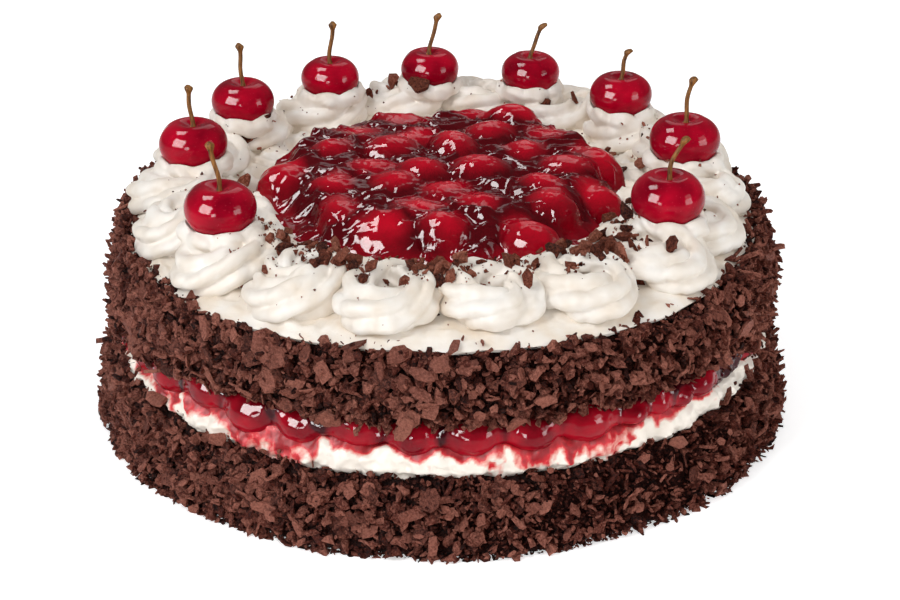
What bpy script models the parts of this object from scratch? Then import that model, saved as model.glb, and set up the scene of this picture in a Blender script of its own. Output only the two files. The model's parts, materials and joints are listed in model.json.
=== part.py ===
"""Black forest cake: two shaved-chocolate coated sponges, a cream and cherry filling, a cream top
with a ring of piped rosettes, a mound of glazed cherries in the middle and nine whole cherries with
stems pressed into the ring.

Metres, +Z up. The origin is the centre of the base; -Y is the front, the side with no whole cherries.
"""

import math
import random

import bmesh
import bpy
from mathutils import Matrix, Vector, noise

MM = 0.001
TURN = 2 * math.pi

# Driving dimensions
GAP = 0.3 * MM              # air left between two solids that touch
FLOOR_RADIUS = 124.2 * MM   # the coat is widest just above the surface it stands on
LOWER_RADIUS = 119.0 * MM   # lower sponge with its coat
UPPER_RADIUS = 116.0 * MM   # upper sponge with its coat
COAT_ROUGHNESS = 1.5 * MM   # how far lumps in the coat stand in or out
LOWER_HEIGHT = 25.0 * MM
CREAM_FILLING = 10.0 * MM   # thickness of the cream that lies on the lower sponge
CHERRY_FILLING = 9.0 * MM   # thickness of the cherries that lie on that cream
UPPER_HEIGHT = 22.6 * MM
FILLING_RADIUS = 112.6 * MM
SPONGE_EDGE = 111.2 * MM    # where the coat ends at the top
CREAM_TOP = 5.7 * MM        # thickness of the cream on top
CREAM_RADIUS = 111.8 * MM

ROSETTES = 18
ROSETTE_RING = 91.0 * MM
ROSETTE_PHASE = math.radians(-100)
ROPE_RADIUS = 6.8 * MM      # the piped rope of cream that a rosette is wound from
LOOP_ACROSS = 8.6 * MM      # the rope's loop, along the ring
LOOP_ALONG = 10.2 * MM      # and from the cake's centre outwards
ROPE_CLIMB = 4.4 * MM
ROPE_LOBES = 5
LOBE_DEPTH = 0.22
ROSETTE_TRIANGLES = 164

MOUND_RADIUS = (66.0 * MM, 61.5 * MM)   # along X and Y
MOUND_CENTRE = (0.5 * MM, 3.0 * MM)     # it lies a little towards the back
MOUND_FOOT = 4.5 * MM
MOUND_GEL = 9.5 * MM                    # level of the glaze between the fruit
FRUIT_HEIGHT = 17.5 * MM                # highest fruit over the cream
FRUIT_RADIUS = 10.0 * MM
FRUIT_RINGS = ((0.0, 1), (17.5 * MM, 6), (35.0 * MM, 12), (53.5 * MM, 18))

CHERRY_CENTRE = 20.0 * MM   # height of a whole cherry's middle over the cream
CHERRY_FLATNESS = 0.76
DIMPLE = 0.22               # depth of the stem dimple, as a share of the cherry's radius
STEM_RADIUS = 0.85 * MM
STEM_KNOB = 1.55 * MM

# Whole cherries: angle on the ring in degrees, distance from the middle, diameter, and the stem's
# reach sideways, backwards and up, all in millimetres.
WHOLE_CHERRIES = (
    (-144, 90.5, 24.5, -3.2, 0.6, 15.4),
    (175.5, 88.0, 24.0, -1.4, 0.8, 13.8),
    (145.5, 89.0, 23.0, -1.2, 1.0, 14.8),
    (119, 87.0, 21.8, 1.6, 1.0, 15.0),
    (93, 86.5, 22.0, 4.2, 1.2, 14.8),
    (67.5, 88.5, 22.0, 5.8, 1.0, 12.4),
    (40.5, 87.5, 23.0, 3.2, 0.8, 10.2),
    (6.5, 86.5, 25.0, 2.6, 0.8, 15.4),
    (-30.5, 87.5, 25.2, 5.6, 0.6, 13.6),
)

# Heights that follow from the driving dimensions
CREAM_FLOOR = LOWER_HEIGHT + GAP
FRUIT_FLOOR = CREAM_FLOOR + CREAM_FILLING + GAP
UPPER_FLOOR = FRUIT_FLOOR + CHERRY_FILLING + GAP
TOP_FLOOR = UPPER_FLOOR + UPPER_HEIGHT + GAP
TOP = TOP_FLOOR + CREAM_TOP


def clear_scene():
    for obj in list(bpy.data.objects):
        bpy.data.objects.remove(obj)


def finish(name, colour, roughness):
    """A Principled BSDF in one linear colour."""
    material = bpy.data.materials.new(name)
    material.use_nodes = True
    shader = material.node_tree.nodes["Principled BSDF"]
    shader.inputs["Base Color"].default_value = (*colour, 1)
    shader.inputs["Roughness"].default_value = roughness
    shader.inputs["Metallic"].default_value = 0
    return material


def add_solid(name, mesh_builder, material, smooth_below=35):
    mesh = bpy.data.meshes.new(name)
    bmesh.ops.recalc_face_normals(mesh_builder, faces=mesh_builder.faces)
    mesh_builder.to_mesh(mesh)
    mesh_builder.free()
    mesh.shade_smooth()
    mesh.set_sharp_from_angle(angle=math.radians(smooth_below))
    obj = bpy.data.objects.new(name, mesh)
    mesh.materials.append(material)
    bpy.context.scene.collection.objects.link(obj)
    return obj


def smooth_step(low, high, value):
    share = min(1.0, max(0.0, (value - low) / (high - low)))
    return share * share * (3 - 2 * share)


def skin(rings, bottom=None, top=None):
    """A closed body from rings of points, bottom ring first. Each end is closed by a fan round the
    bottom or top point, or round the ring's middle."""
    body = bmesh.new()
    made = [[body.verts.new(point) for point in ring] for ring in rings]
    count = len(made[0])
    for low, high in zip(made, made[1:]):
        for i in range(count):
            j = (i + 1) % count
            body.faces.new((low[i], low[j], high[j], high[i]))
    for ring, point, below in ((made[0], bottom, True), (made[-1], top, False)):
        middle = body.verts.new(point or sum((v.co for v in ring), Vector()) / count)
        for i in range(count):
            j = (i + 1) % count
            body.faces.new((ring[j], ring[i], middle) if below else (ring[i], ring[j], middle))
    return body


def turned(profile, segments, unevenness=None):
    """A turned body. profile holds (radius, height), bottom first, and unevenness(angle, height) adds
    to each radius."""
    rings = []
    for radius, height in profile:
        ring = []
        for i in range(segments):
            angle = TURN * i / segments
            reach = radius + (unevenness(angle, height) if unevenness else 0)
            ring.append(Vector((reach * math.cos(angle), reach * math.sin(angle), height)))
        rings.append(ring)
    return skin(rings)


def lumps(amount, size, shift):
    """Unevenness that follows the wall: amount is its depth and size the width of a lump."""
    def depth(angle, height):
        place = Vector((math.cos(angle), math.sin(angle), 0)) * UPPER_RADIUS
        place.z = height
        return amount * noise.noise(place / size + Vector((shift, shift, shift)))
    return depth


def lower_sponge(material):
    profile = (
        (FLOOR_RADIUS - 1.6 * MM, 0),
        (FLOOR_RADIUS, 3 * MM),
        (LOWER_RADIUS + 0.6 * MM, 11 * MM),
        (LOWER_RADIUS, LOWER_HEIGHT - 6 * MM),
        (LOWER_RADIUS - 3.4 * MM, LOWER_HEIGHT),
    )
    body = turned(profile, 72, lumps(2 * COAT_ROUGHNESS, 11 * MM, 3.0))
    return add_solid("lower_sponge", body, material)


def cream_filling(material):
    middle = CREAM_FLOOR + CREAM_FILLING / 2
    profile = (
        (FILLING_RADIUS - 0.8 * MM, CREAM_FLOOR),
        (FILLING_RADIUS + 1.4 * MM, middle),
        (FILLING_RADIUS - 1.0 * MM, CREAM_FLOOR + CREAM_FILLING),
    )
    body = turned(profile, 72, lumps(2.4 * MM, 16 * MM, 7.0))
    return add_solid("cream_filling", body, material)


def cherry_filling(material):
    """The band of cherries: its edge swells once for each fruit that it holds."""
    fruits = 36
    samples = 3

    def swell(angle, height):
        bulge = abs(math.cos(fruits * angle / 2)) - 0.5
        inside = math.sin(math.pi * (height - FRUIT_FLOOR) / CHERRY_FILLING)
        return 2.6 * MM * bulge * (0.3 + 0.7 * inside)

    profile = (
        (FILLING_RADIUS - 2.4 * MM, FRUIT_FLOOR),
        (FILLING_RADIUS + 0.6 * MM, FRUIT_FLOOR + 0.5 * CHERRY_FILLING),
        (FILLING_RADIUS - 2.0 * MM, FRUIT_FLOOR + CHERRY_FILLING),
    )
    return add_solid("cherry_filling", turned(profile, fruits * samples, swell), material)


def upper_sponge(material):
    profile = (
        (UPPER_RADIUS - 2.2 * MM, UPPER_FLOOR),
        (UPPER_RADIUS + 0.4 * MM, UPPER_FLOOR + 4 * MM),
        (UPPER_RADIUS, UPPER_FLOOR + 13 * MM),
        (UPPER_RADIUS - 1.6 * MM, UPPER_FLOOR + UPPER_HEIGHT - 4 * MM),
        (SPONGE_EDGE, UPPER_FLOOR + UPPER_HEIGHT),
    )
    body = turned(profile, 72, lumps(2 * COAT_ROUGHNESS, 11 * MM, 11.0))
    return add_solid("upper_sponge", body, material)


def top_cream(material):
    profile = (
        (CREAM_RADIUS - 1.6 * MM, TOP_FLOOR),
        (CREAM_RADIUS, TOP_FLOOR + 1.6 * MM),
        (CREAM_RADIUS - 1.2 * MM, TOP - 1.8 * MM),
        (CREAM_RADIUS - 4.2 * MM, TOP),
    )
    body = turned(profile, 60, lumps(1.0 * MM, 22 * MM, 5.0))
    return add_solid("top_cream", body, material)


def rosette_path(number, steps):
    """The rope's centre line and thickness: one loop round the rosette's rim, then inwards and up to
    a short tip. X runs along the ring of rosettes and Y away from the cake's middle."""
    chance = random.Random(number)
    start = chance.uniform(0, TURN)
    turns = chance.uniform(1.45, 1.75)
    tip = Vector((chance.uniform(-2.2, 2.2), chance.uniform(-2.6, 2.6), 0)) * MM
    points = []
    for step in range(steps + 1):
        share = step / steps
        angle = start + TURN * turns * share
        inwards = smooth_step(0.48, 1.0, share)
        loop = 1 - 0.94 * inwards
        climb = ROPE_CLIMB * share ** 1.3 + 1.6 * MM * smooth_step(0.85, 1.0, share)
        point = Vector((
            LOOP_ACROSS * loop * math.cos(angle),
            LOOP_ALONG * loop * math.sin(angle),
            0.78 * ROPE_RADIUS + climb,
        )) + tip * inwards
        swelling = 0.72 + 0.28 * smooth_step(0.0, 0.14, share)
        thinning = 1 - 0.42 * smooth_step(0.6, 0.94, share) - 0.36 * smooth_step(0.9, 1.0, share)
        points.append((point, ROPE_RADIUS * swelling * thinning))
    return points


def lobed_rope(points, lobes, samples, twist):
    """Rings of a star-shaped rope that follows points, each a place and a radius."""
    rings = []
    side = None
    for i, (place, radius) in enumerate(points):
        before = points[max(i - 1, 0)][0]
        after = points[min(i + 1, len(points) - 1)][0]
        along = (after - before).normalized()
        if side is None:
            side = along.cross(Vector((0, 0, 1))).normalized()
        side = (side - along * side.dot(along)).normalized()
        up = side.cross(along)
        ring = []
        for k in range(samples):
            angle = TURN * k / samples
            reach = radius * (1 + LOBE_DEPTH * math.cos(lobes * (angle + twist * i / len(points))))
            ring.append(place + reach * (math.cos(angle) * side + math.sin(angle) * up))
        rings.append(ring)
    return rings


def thinned(obj, triangles):
    """The object's mesh as its modifiers leave it, brought down to about this many triangles."""
    bpy.context.view_layer.update()
    graph = bpy.context.evaluated_depsgraph_get()
    mesh = bpy.data.meshes.new_from_object(obj.evaluated_get(graph))
    obj.modifiers.clear()
    obj.data = mesh
    faces = sum(len(polygon.vertices) - 2 for polygon in mesh.polygons)
    fewer = obj.modifiers.new("fewer_faces", "DECIMATE")
    fewer.ratio = triangles / faces


def rosette(number, material):
    rope = lobed_rope(rosette_path(number, 22), ROPE_LOBES, 2 * ROPE_LOBES, 2.0)
    for ring in rope:
        for point in ring:
            point.z = max(point.z, 0)
    obj = add_solid(f"rosette_{number + 1:02d}", skin(rope), material)
    fuse = obj.modifiers.new("fuse_turns", "REMESH")
    fuse.mode = "VOXEL"
    fuse.voxel_size = 1.1 * MM
    thinned(obj, ROSETTE_TRIANGLES)
    angle = ROSETTE_PHASE + TURN * number / ROSETTES
    obj.location = (ROSETTE_RING * math.cos(angle), ROSETTE_RING * math.sin(angle), TOP + GAP)
    obj.rotation_euler.z = angle - math.pi / 2
    return obj


def cherry_body(radius, segments=12, levels=8):
    """A cherry round its own middle: flattened, a little narrower below, with a stem dimple."""
    rings = []
    for level in range(1, levels):
        slope = math.pi * (1 - level / levels)
        reach = radius * math.sin(slope) * (1 + 0.05 * math.cos(slope))
        height = CHERRY_FLATNESS * radius * math.cos(slope)
        if slope < math.pi / 2:
            height -= DIMPLE * radius * math.exp(-((reach / (0.4 * radius)) ** 2))
        rings.append([
            Vector((reach * math.cos(TURN * i / segments), reach * math.sin(TURN * i / segments), height))
            for i in range(segments)
        ])
    bottom = Vector((0, 0, -CHERRY_FLATNESS * radius))
    return skin(rings, bottom, Vector((0, 0, dimple_floor(radius))))


def dimple_floor(radius):
    """Height of the bottom of the dimple over the cherry's middle."""
    return (CHERRY_FLATNESS - DIMPLE) * radius


def whole_cherry(number, material, stem_material):
    degrees, distance, diameter, aside, back, rise = WHOLE_CHERRIES[number]
    angle = math.radians(degrees)
    radius = diameter / 2 * MM
    place = Vector((distance * MM * math.cos(angle), distance * MM * math.sin(angle),
                    TOP + CHERRY_CENTRE))
    cherry = add_solid(f"cherry_{number + 1}", cherry_body(radius), material, 60)
    cherry.location = place

    foot = Vector((0, 0, dimple_floor(radius) + 1.2 * MM))
    sides = 6
    rings = []
    for share in (0.0, 0.32, 0.66, 0.92, 1.0):
        lean = share ** 1.7
        centre = foot + Vector((aside * lean, back * lean, rise * share)) * MM
        knob = smooth_step(0.62, 0.94, share) - 0.5 * smooth_step(0.94, 1.0, share)
        thickness = STEM_RADIUS + (STEM_KNOB - STEM_RADIUS) * knob
        rings.append([
            centre + Vector((math.cos(TURN * i / sides), math.sin(TURN * i / sides), 0)) * thickness
            for i in range(sides)
        ])
    stem = add_solid(f"stem_{number + 1}", skin(rings), stem_material, 60)
    stem.location = place
    return cherry, stem


def press_in(rosettes, cherries):
    """Each rosette gives way to the cherries that are pressed into it."""
    for number, cherry in enumerate(cherries):
        radius = WHOLE_CHERRIES[number][2] / 2 * MM
        hollow = cherry_body(radius + 1.5 * GAP)
        cutter = add_solid(f"hollow_{number + 1}", hollow, cherry.data.materials[0])
        cutter.location = cherry.location
        cutter.hide_render = True
        cutter.display_type = "WIRE"
        for piece in rosettes:
            if (piece.location - cherry.location).to_2d().length < radius + 2 * ROPE_RADIUS:
                cut = piece.modifiers.new(cutter.name, "BOOLEAN")
                cut.operation = "DIFFERENCE"
                cut.object = cutter


def fruit_places():
    """Middle, length share and heading of each fruit in the mound."""
    chance = random.Random(7)
    places = []
    for distance, count in FRUIT_RINGS:
        shift = chance.uniform(0, TURN)
        for i in range(count):
            angle = shift + TURN * (i + chance.uniform(-0.14, 0.14)) / count
            reach = distance + chance.uniform(-1.6, 1.6) * MM
            place = Vector((
                MOUND_CENTRE[0] + reach * math.cos(angle),
                MOUND_CENTRE[1] + reach * math.sin(angle) * MOUND_RADIUS[1] / MOUND_RADIUS[0],
                chance.uniform(-1.8, 0.0) * MM,
            ))
            places.append((place, chance.uniform(0.95, 1.15), chance.uniform(-0.6, 0.6)))
    return places


def mound_height(x, y, fruits, edge_share):
    """Height of the glazed fruit over the cream at a place; edge_share is 1 on its outline."""
    gel = MOUND_FOOT + (MOUND_GEL - MOUND_FOOT) * (1 - smooth_step(0.8, 1.0, edge_share))
    height = gel
    for place, length, heading in fruits:
        dx, dy = x - place.x, y - place.y
        along = (dx * math.cos(heading) + dy * math.sin(heading)) / (FRUIT_RADIUS * length)
        across = (dy * math.cos(heading) - dx * math.sin(heading)) / (FRUIT_RADIUS * 0.92)
        inside = 1 - along * along - across * across
        if inside > 0:
            dome = (FRUIT_HEIGHT + place.z) * (0.45 + 0.55 * math.sqrt(inside))
            height = max(height, dome * (1 - 0.5 * smooth_step(0.9, 1.0, edge_share)))
    return height


def fruit_mound(material):
    segments, circles = 48, 11
    fruits = fruit_places()
    outline = lumps(3.6 * MM, 14 * MM, 2.0)
    rings = []
    for circle in range(circles, 0, -1):
        share = circle / circles
        ring = []
        for i in range(segments):
            angle = TURN * i / segments
            wobble = outline(angle, TOP) * share
            x = MOUND_CENTRE[0] + (MOUND_RADIUS[0] * share + wobble) * math.cos(angle)
            y = MOUND_CENTRE[1] + (MOUND_RADIUS[1] * share + wobble) * math.sin(angle)
            ring.append(Vector((x, y, TOP + GAP + mound_height(x, y, fruits, share))))
        rings.append(ring)
    foot = [Vector((point.x, point.y, TOP + GAP)) for point in rings[0]]
    return add_solid("cherry_mound", skin([foot] + rings), material, 80)


def main():
    clear_scene()
    chocolate = finish("shaved_chocolate", (0.080, 0.034, 0.022), 0.6)
    cream = finish("whipped_cream", (0.90, 0.85, 0.75), 0.5)
    glaze = finish("cherry_glaze", (0.28, 0.004, 0.012), 0.12)
    skin_red = finish("cherry_skin", (0.36, 0.003, 0.012), 0.15)
    stalk = finish("cherry_stem", (0.26, 0.13, 0.04), 0.6)

    lower_sponge(chocolate)
    cream_filling(cream)
    cherry_filling(glaze)
    upper_sponge(chocolate)
    top_cream(cream)
    fruit_mound(glaze)
    rosettes = [rosette(number, cream) for number in range(ROSETTES)]
    cherries = [whole_cherry(number, skin_red, stalk)[0] for number in range(len(WHOLE_CHERRIES))]
    press_in(rosettes, cherries)


main()
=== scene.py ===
"""Black forest cake, dressed: shaved chocolate round two sponges, a seam of cream and cherries, piped
rosettes, whole cherries on their stems and a mound of glazed cherries, on a pale studio floor."""

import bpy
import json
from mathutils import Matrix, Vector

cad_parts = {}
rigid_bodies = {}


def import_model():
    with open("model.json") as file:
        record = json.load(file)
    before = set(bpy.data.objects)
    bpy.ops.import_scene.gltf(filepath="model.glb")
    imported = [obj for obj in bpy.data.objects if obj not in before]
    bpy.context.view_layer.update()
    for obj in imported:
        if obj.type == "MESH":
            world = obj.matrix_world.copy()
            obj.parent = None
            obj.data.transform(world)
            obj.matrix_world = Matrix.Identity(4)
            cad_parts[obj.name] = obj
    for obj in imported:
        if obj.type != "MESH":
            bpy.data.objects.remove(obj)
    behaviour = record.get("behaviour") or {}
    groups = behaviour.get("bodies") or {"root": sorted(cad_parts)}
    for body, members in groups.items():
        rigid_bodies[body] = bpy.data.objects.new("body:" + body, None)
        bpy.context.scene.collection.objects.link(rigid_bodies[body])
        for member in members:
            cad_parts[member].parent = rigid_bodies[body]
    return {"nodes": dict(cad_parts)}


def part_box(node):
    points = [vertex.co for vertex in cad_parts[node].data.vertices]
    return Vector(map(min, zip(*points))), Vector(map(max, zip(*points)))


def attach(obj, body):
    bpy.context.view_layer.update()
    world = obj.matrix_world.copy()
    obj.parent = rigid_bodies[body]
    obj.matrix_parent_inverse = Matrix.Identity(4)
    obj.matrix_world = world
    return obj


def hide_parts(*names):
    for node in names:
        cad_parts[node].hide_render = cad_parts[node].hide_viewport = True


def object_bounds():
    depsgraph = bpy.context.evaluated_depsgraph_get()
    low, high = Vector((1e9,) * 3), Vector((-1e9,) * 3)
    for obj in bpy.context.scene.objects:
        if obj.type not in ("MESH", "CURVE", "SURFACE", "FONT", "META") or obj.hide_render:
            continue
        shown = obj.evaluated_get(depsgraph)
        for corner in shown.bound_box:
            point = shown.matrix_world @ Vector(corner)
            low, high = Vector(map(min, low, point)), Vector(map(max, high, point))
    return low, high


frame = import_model()
CAD_BOX = [list(corner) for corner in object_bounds()]

import json
import math
import random

import bmesh
import bpy
import numpy as np
from bpy.props import FloatProperty, FloatVectorProperty, PointerProperty
from bpy.types import Operator, Panel, PropertyGroup
from mathutils import Vector, noise
from mathutils.bvhtree import BVHTree

bl_info = {
    "name": "Black Forest Cake",
    "version": (1, 0, 0),
    "blender": (4, 5, 0),
    "location": "3D View > Sidebar > Cake",
    "description": "Makes a black forest cake piece by piece over its packed solids",
    "category": "Object",
}

MM = 0.001
TURN = 2 * math.pi


# Where the solids stand


def low(node):
    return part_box(node)[0][2]


def high(node):
    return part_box(node)[1][2]


def middle(node):
    lowest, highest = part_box(node)
    return (np.array(lowest) + np.array(highest)) / 2


def half_size(node):
    lowest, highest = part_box(node)
    return (np.array(highest) - np.array(lowest)) / 2


LOWER_TOP = high("lower_sponge")
SEAM_LOW, SEAM_HIGH = low("cream_filling"), high("cherry_filling")
CREAM_SPLIT = high("cream_filling")
UPPER_LOW, UPPER_TOP = low("upper_sponge"), high("upper_sponge")
CREAM_LOW, TOP = low("top_cream"), high("top_cream")
CHERRY_FLATNESS = 0.76
ROSETTES = sorted(name for name in frame["nodes"] if name.startswith("rosette_"))
CHERRIES = sorted(name for name in frame["nodes"] if name.startswith("cherry_") and name[7:].isdigit())
STEMS = sorted(name for name in frame["nodes"] if name.startswith("stem_"))
REACH = min(half_size("lower_sponge")[:2]) - 0.1 * MM


# Small helpers


def srgb(code, alpha=1.0):
    """An sRGB hex value as linear colour."""
    parts = [int(code[i:i + 2], 16) / 255 for i in (1, 3, 5)]
    linear = [part / 12.92 if part <= 0.04045 else ((part + 0.055) / 1.055) ** 2.4 for part in parts]
    return (*linear, alpha)


def smooth_step(start, end, value):
    share = np.clip((np.asarray(value, float) - start) / (end - start), 0, 1)
    return share * share * (3 - 2 * share)


def lumps(points, size, seed, detail=1):
    """Smooth noise at each point, about -1 to 1, with lumps of this size and finer ones on top."""
    shift = Vector((seed * 7.13, seed * 3.71, seed * 5.39))
    found = np.zeros(len(points))
    share = 1.0
    for _ in range(detail):
        found += share * np.array([noise.noise(Vector(point) / size + shift) for point in points])
        size *= 0.47
        share *= 0.5
        shift = shift * 1.7
    return found * 1.6


def around(columns):
    return np.arange(columns) * TURN / columns


def grid_faces(rows, columns):
    """Quads between the rings of a closed wall."""
    row, column = np.meshgrid(np.arange(rows - 1), np.arange(columns), indexing="ij")
    here = row * columns + column
    beside = row * columns + (column + 1) % columns
    return np.stack([here, beside, beside + columns, here + columns], -1).reshape(-1, 4).tolist()


def new_object(name, mesh):
    obj = bpy.data.objects.new(name, mesh)
    bpy.context.scene.collection.objects.link(obj)
    return obj


def wrap(name, rings):
    """A closed skin over rings of points, shaped (rows, columns, 3), bottom ring first, each end
    closed to the ring's middle."""
    rows, columns, _ = rings.shape
    points = rings.reshape(-1, 3).tolist()
    points += [rings[0].mean(0).tolist(), rings[-1].mean(0).tolist()]
    faces = grid_faces(rows, columns)
    foot, head = rows * columns, rows * columns + 1
    last = (rows - 1) * columns
    for i in range(columns):
        j = (i + 1) % columns
        faces.append((j, i, foot))
        faces.append((last + i, last + j, head))
    mesh = bpy.data.meshes.new(name)
    mesh.from_pydata(points, [], faces)
    mesh.shade_smooth()
    return new_object(name, mesh)


def coordinates(mesh):
    found = np.empty(len(mesh.vertices) * 3)
    mesh.vertices.foreach_get("co", found)
    return found.reshape(-1, 3)


def set_coordinates(mesh, points):
    mesh.vertices.foreach_set("co", points.ravel())
    mesh.update()


def normals(mesh):
    found = np.empty(len(mesh.vertices) * 3)
    mesh.vertices.foreach_get("normal", found)
    return found.reshape(-1, 3)


def paint(mesh, name, values):
    """One number for each point, for a material or a scatter to read."""
    layer = mesh.attributes.get(name) or mesh.attributes.new(name, "FLOAT", "POINT")
    layer.data.foreach_set("value", np.asarray(values, float))


def settle(obj):
    """Turns the object's live modifiers into its own plain mesh."""
    graph = bpy.context.evaluated_depsgraph_get()
    mesh = bpy.data.meshes.new_from_object(obj.evaluated_get(graph), depsgraph=graph)
    obj.modifiers.clear()
    old = obj.data
    obj.data = mesh
    bpy.data.meshes.remove(old)
    mesh.name = obj.name
    return obj


def fuse(obj, voxel, smoothing=0, factor=0.5):
    """One closed skin round everything in the object, with its creases softened."""
    skin = obj.modifiers.new("skin", "REMESH")
    skin.mode = "VOXEL"
    skin.voxel_size = voxel
    skin.use_smooth_shade = True
    if smoothing:
        soft = obj.modifiers.new("soft", "SMOOTH")
        soft.factor = factor
        soft.iterations = smoothing
    return settle(obj)


def join(name, objects):
    """One object from several. The others are removed."""
    body = bmesh.new()
    for obj in objects:
        body.from_mesh(obj.data)
    mesh = bpy.data.meshes.new(name)
    body.to_mesh(mesh)
    body.free()
    for obj in objects:
        bpy.data.objects.remove(obj)
    return new_object(name, mesh)


def ellipsoid(place, axes, turn=0.0, tilt=0.0, segments=28, levels=18):
    """An egg-round body: axes are half its length, width and height."""
    body = bmesh.new()
    bmesh.ops.create_uvsphere(body, u_segments=segments, v_segments=levels, radius=1)
    mesh = bpy.data.meshes.new("round")
    body.to_mesh(mesh)
    body.free()
    points = coordinates(mesh) * np.array(axes)
    cos_tilt, sin_tilt = math.cos(tilt), math.sin(tilt)
    points = points @ np.array([[cos_tilt, 0, -sin_tilt], [0, 1, 0], [sin_tilt, 0, cos_tilt]])
    cos_turn, sin_turn = math.cos(turn), math.sin(turn)
    points = points @ np.array([[cos_turn, sin_turn, 0], [-sin_turn, cos_turn, 0], [0, 0, 1]])
    set_coordinates(mesh, points + np.array(place))
    return new_object("round", mesh)


def dress(obj, material, replaces=()):
    """Gives a finished piece its material and its place in the frame."""
    obj.data.materials.clear()
    obj.data.materials.append(material)
    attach(obj, "root")
    if replaces:
        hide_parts(*replaces)
    return obj


# Materials


def new_material(name):
    """An empty material with its Principled shader joined to its output."""
    material = bpy.data.materials.new(name)
    material.use_nodes = True
    return material, material.node_tree, material.node_tree.nodes["Principled BSDF"]


def socket(sockets, name):
    if isinstance(name, int):
        return sockets[name]
    return next(found for found in sockets if found.name == name and found.enabled)


def add_node(tree, kind, values=None, links=None, **settings):
    """A node with its settings, its input values and what feeds its inputs."""
    made = tree.nodes.new(kind)
    for name, value in settings.items():
        setattr(made, name, value)
    for name, value in (values or {}).items():
        socket(made.inputs, name).default_value = value
    for name, source in (links or {}).items():
        tree.links.new(source, socket(made.inputs, name))
    return made


def set_ramp(made, stops):
    """Colour stops of a Color Ramp, each a place from 0 to 1 and a linear colour."""
    elements = made.color_ramp.elements
    while len(elements) < len(stops):
        elements.new(0.5)
    for element, (place, colour) in zip(elements, stops):
        element.position = place
        element.color = colour


def bump(tree, shader, height, distance, strength=1.0):
    made = add_node(tree, "ShaderNodeBump", {"Strength": strength, "Distance": distance}, {"Height": height})
    tree.links.new(made.outputs["Normal"], shader.inputs["Normal"])
    return made


def blend(first, second, share):
    """A colour part of the way from the first to the second."""
    return tuple(a + (b - a) * share for a, b in zip(first, second))


def shaved_chocolate(name, light, broken, dark, grain, relief=1.3):
    """Dark couverture, scraped and broken: dull where it broke in fine grains, a faint waxy sheen on
    the scraped faces, and each shaving a tone of its own."""
    material, tree, shader = new_material(name)
    place = add_node(tree, "ShaderNodeTexCoord").outputs["Object"]
    tone = add_node(tree, "ShaderNodeAttribute", attribute_name="tone").outputs["Fac"]
    grains = add_node(tree, "ShaderNodeTexNoise", {"Scale": 1 / grain, "Detail": 6.0, "Roughness": 0.75},
                      {"Vector": place})
    crumbs = add_node(tree, "ShaderNodeTexVoronoi", {"Scale": 1 / (1.1 * grain)}, {"Vector": place})
    drift = add_node(tree, "ShaderNodeMath", {1: 0.56, 2: -0.6}, {0: tone}, operation="MULTIPLY_ADD")
    shade = add_node(tree, "ShaderNodeMath", {1: 1.5}, {0: grains.outputs["Fac"], 2: drift.outputs[0]},
                     operation="MULTIPLY_ADD")
    ramp = add_node(tree, "ShaderNodeValToRGB", links={"Fac": shade.outputs[0]})
    set_ramp(ramp, [(0.1, dark), (0.44, broken), (0.85, light)])
    tree.links.new(ramp.outputs["Color"], shader.inputs["Base Color"])
    height = add_node(tree, "ShaderNodeMath", {1: -0.7},
                      {0: crumbs.outputs["Distance"], 2: grains.outputs["Fac"]}, operation="MULTIPLY_ADD")
    bump(tree, shader, height.outputs[0], relief * grain)
    shader.inputs["Roughness"].default_value = 0.55
    shader.inputs["Specular IOR Level"].default_value = 0.04
    return material


def whipped_cream(name, pale, shade, stained=False):
    """Whipped dairy cream: off-white, a satin surface with tiny air pits, and a faint glow in its own
    colour, painted light that lifts its shades in place of the light that spreads inside it."""
    material, tree, shader = new_material(name)
    place = add_node(tree, "ShaderNodeTexCoord").outputs["Object"]
    pits = add_node(tree, "ShaderNodeTexNoise", {"Scale": 1 / (1.4 * MM), "Detail": 3.0}, {"Vector": place})
    soft = add_node(tree, "ShaderNodeTexNoise", {"Scale": 1 / (9 * MM), "Detail": 2.0}, {"Vector": place})
    ramp = add_node(tree, "ShaderNodeValToRGB", links={"Fac": soft.outputs["Fac"]})
    set_ramp(ramp, [(0.3, shade), (0.7, pale)])
    colour = ramp.outputs["Color"]
    if stained:
        stain = add_node(tree, "ShaderNodeAttribute", attribute_name="stain").outputs["Fac"]
        streaks = add_node(tree, "ShaderNodeTexNoise", {"Scale": 1 / (3 * MM), "Detail": 4.0}, {"Vector": place})
        spread = add_node(tree, "ShaderNodeMath", {1: 0.5}, {0: streaks.outputs["Fac"]}, operation="SUBTRACT")
        bled = add_node(tree, "ShaderNodeMath", {1: 0.9}, {0: spread.outputs[0], 2: stain},
                        operation="MULTIPLY_ADD")
        reds = add_node(tree, "ShaderNodeValToRGB", links={"Fac": bled.outputs[0]})
        set_ramp(reds, [(0.14, (1, 1, 1, 1)), (0.36, srgb("#F4B9B4")), (0.62, srgb("#DD2A38")),
                        (0.95, srgb("#A00D1E"))])
        mixed = add_node(tree, "ShaderNodeMix", {0: 1.0}, {6: colour, 7: reds.outputs["Color"]},
                         data_type="RGBA", blend_type="MULTIPLY")
        colour = mixed.outputs[2]
    tree.links.new(colour, shader.inputs["Base Color"])
    bump(tree, shader, pits.outputs["Fac"], 0.12 * MM)
    shader.inputs["Roughness"].default_value = 0.6
    shader.inputs["Specular IOR Level"].default_value = 0.2
    # Painted light: a faint glow in the cream's own colour lifts its shades, though the cream is no lamp.
    tree.links.new(colour, shader.inputs["Emission Color"])
    shader.inputs["Emission Strength"].default_value = 0.06
    return material


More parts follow.
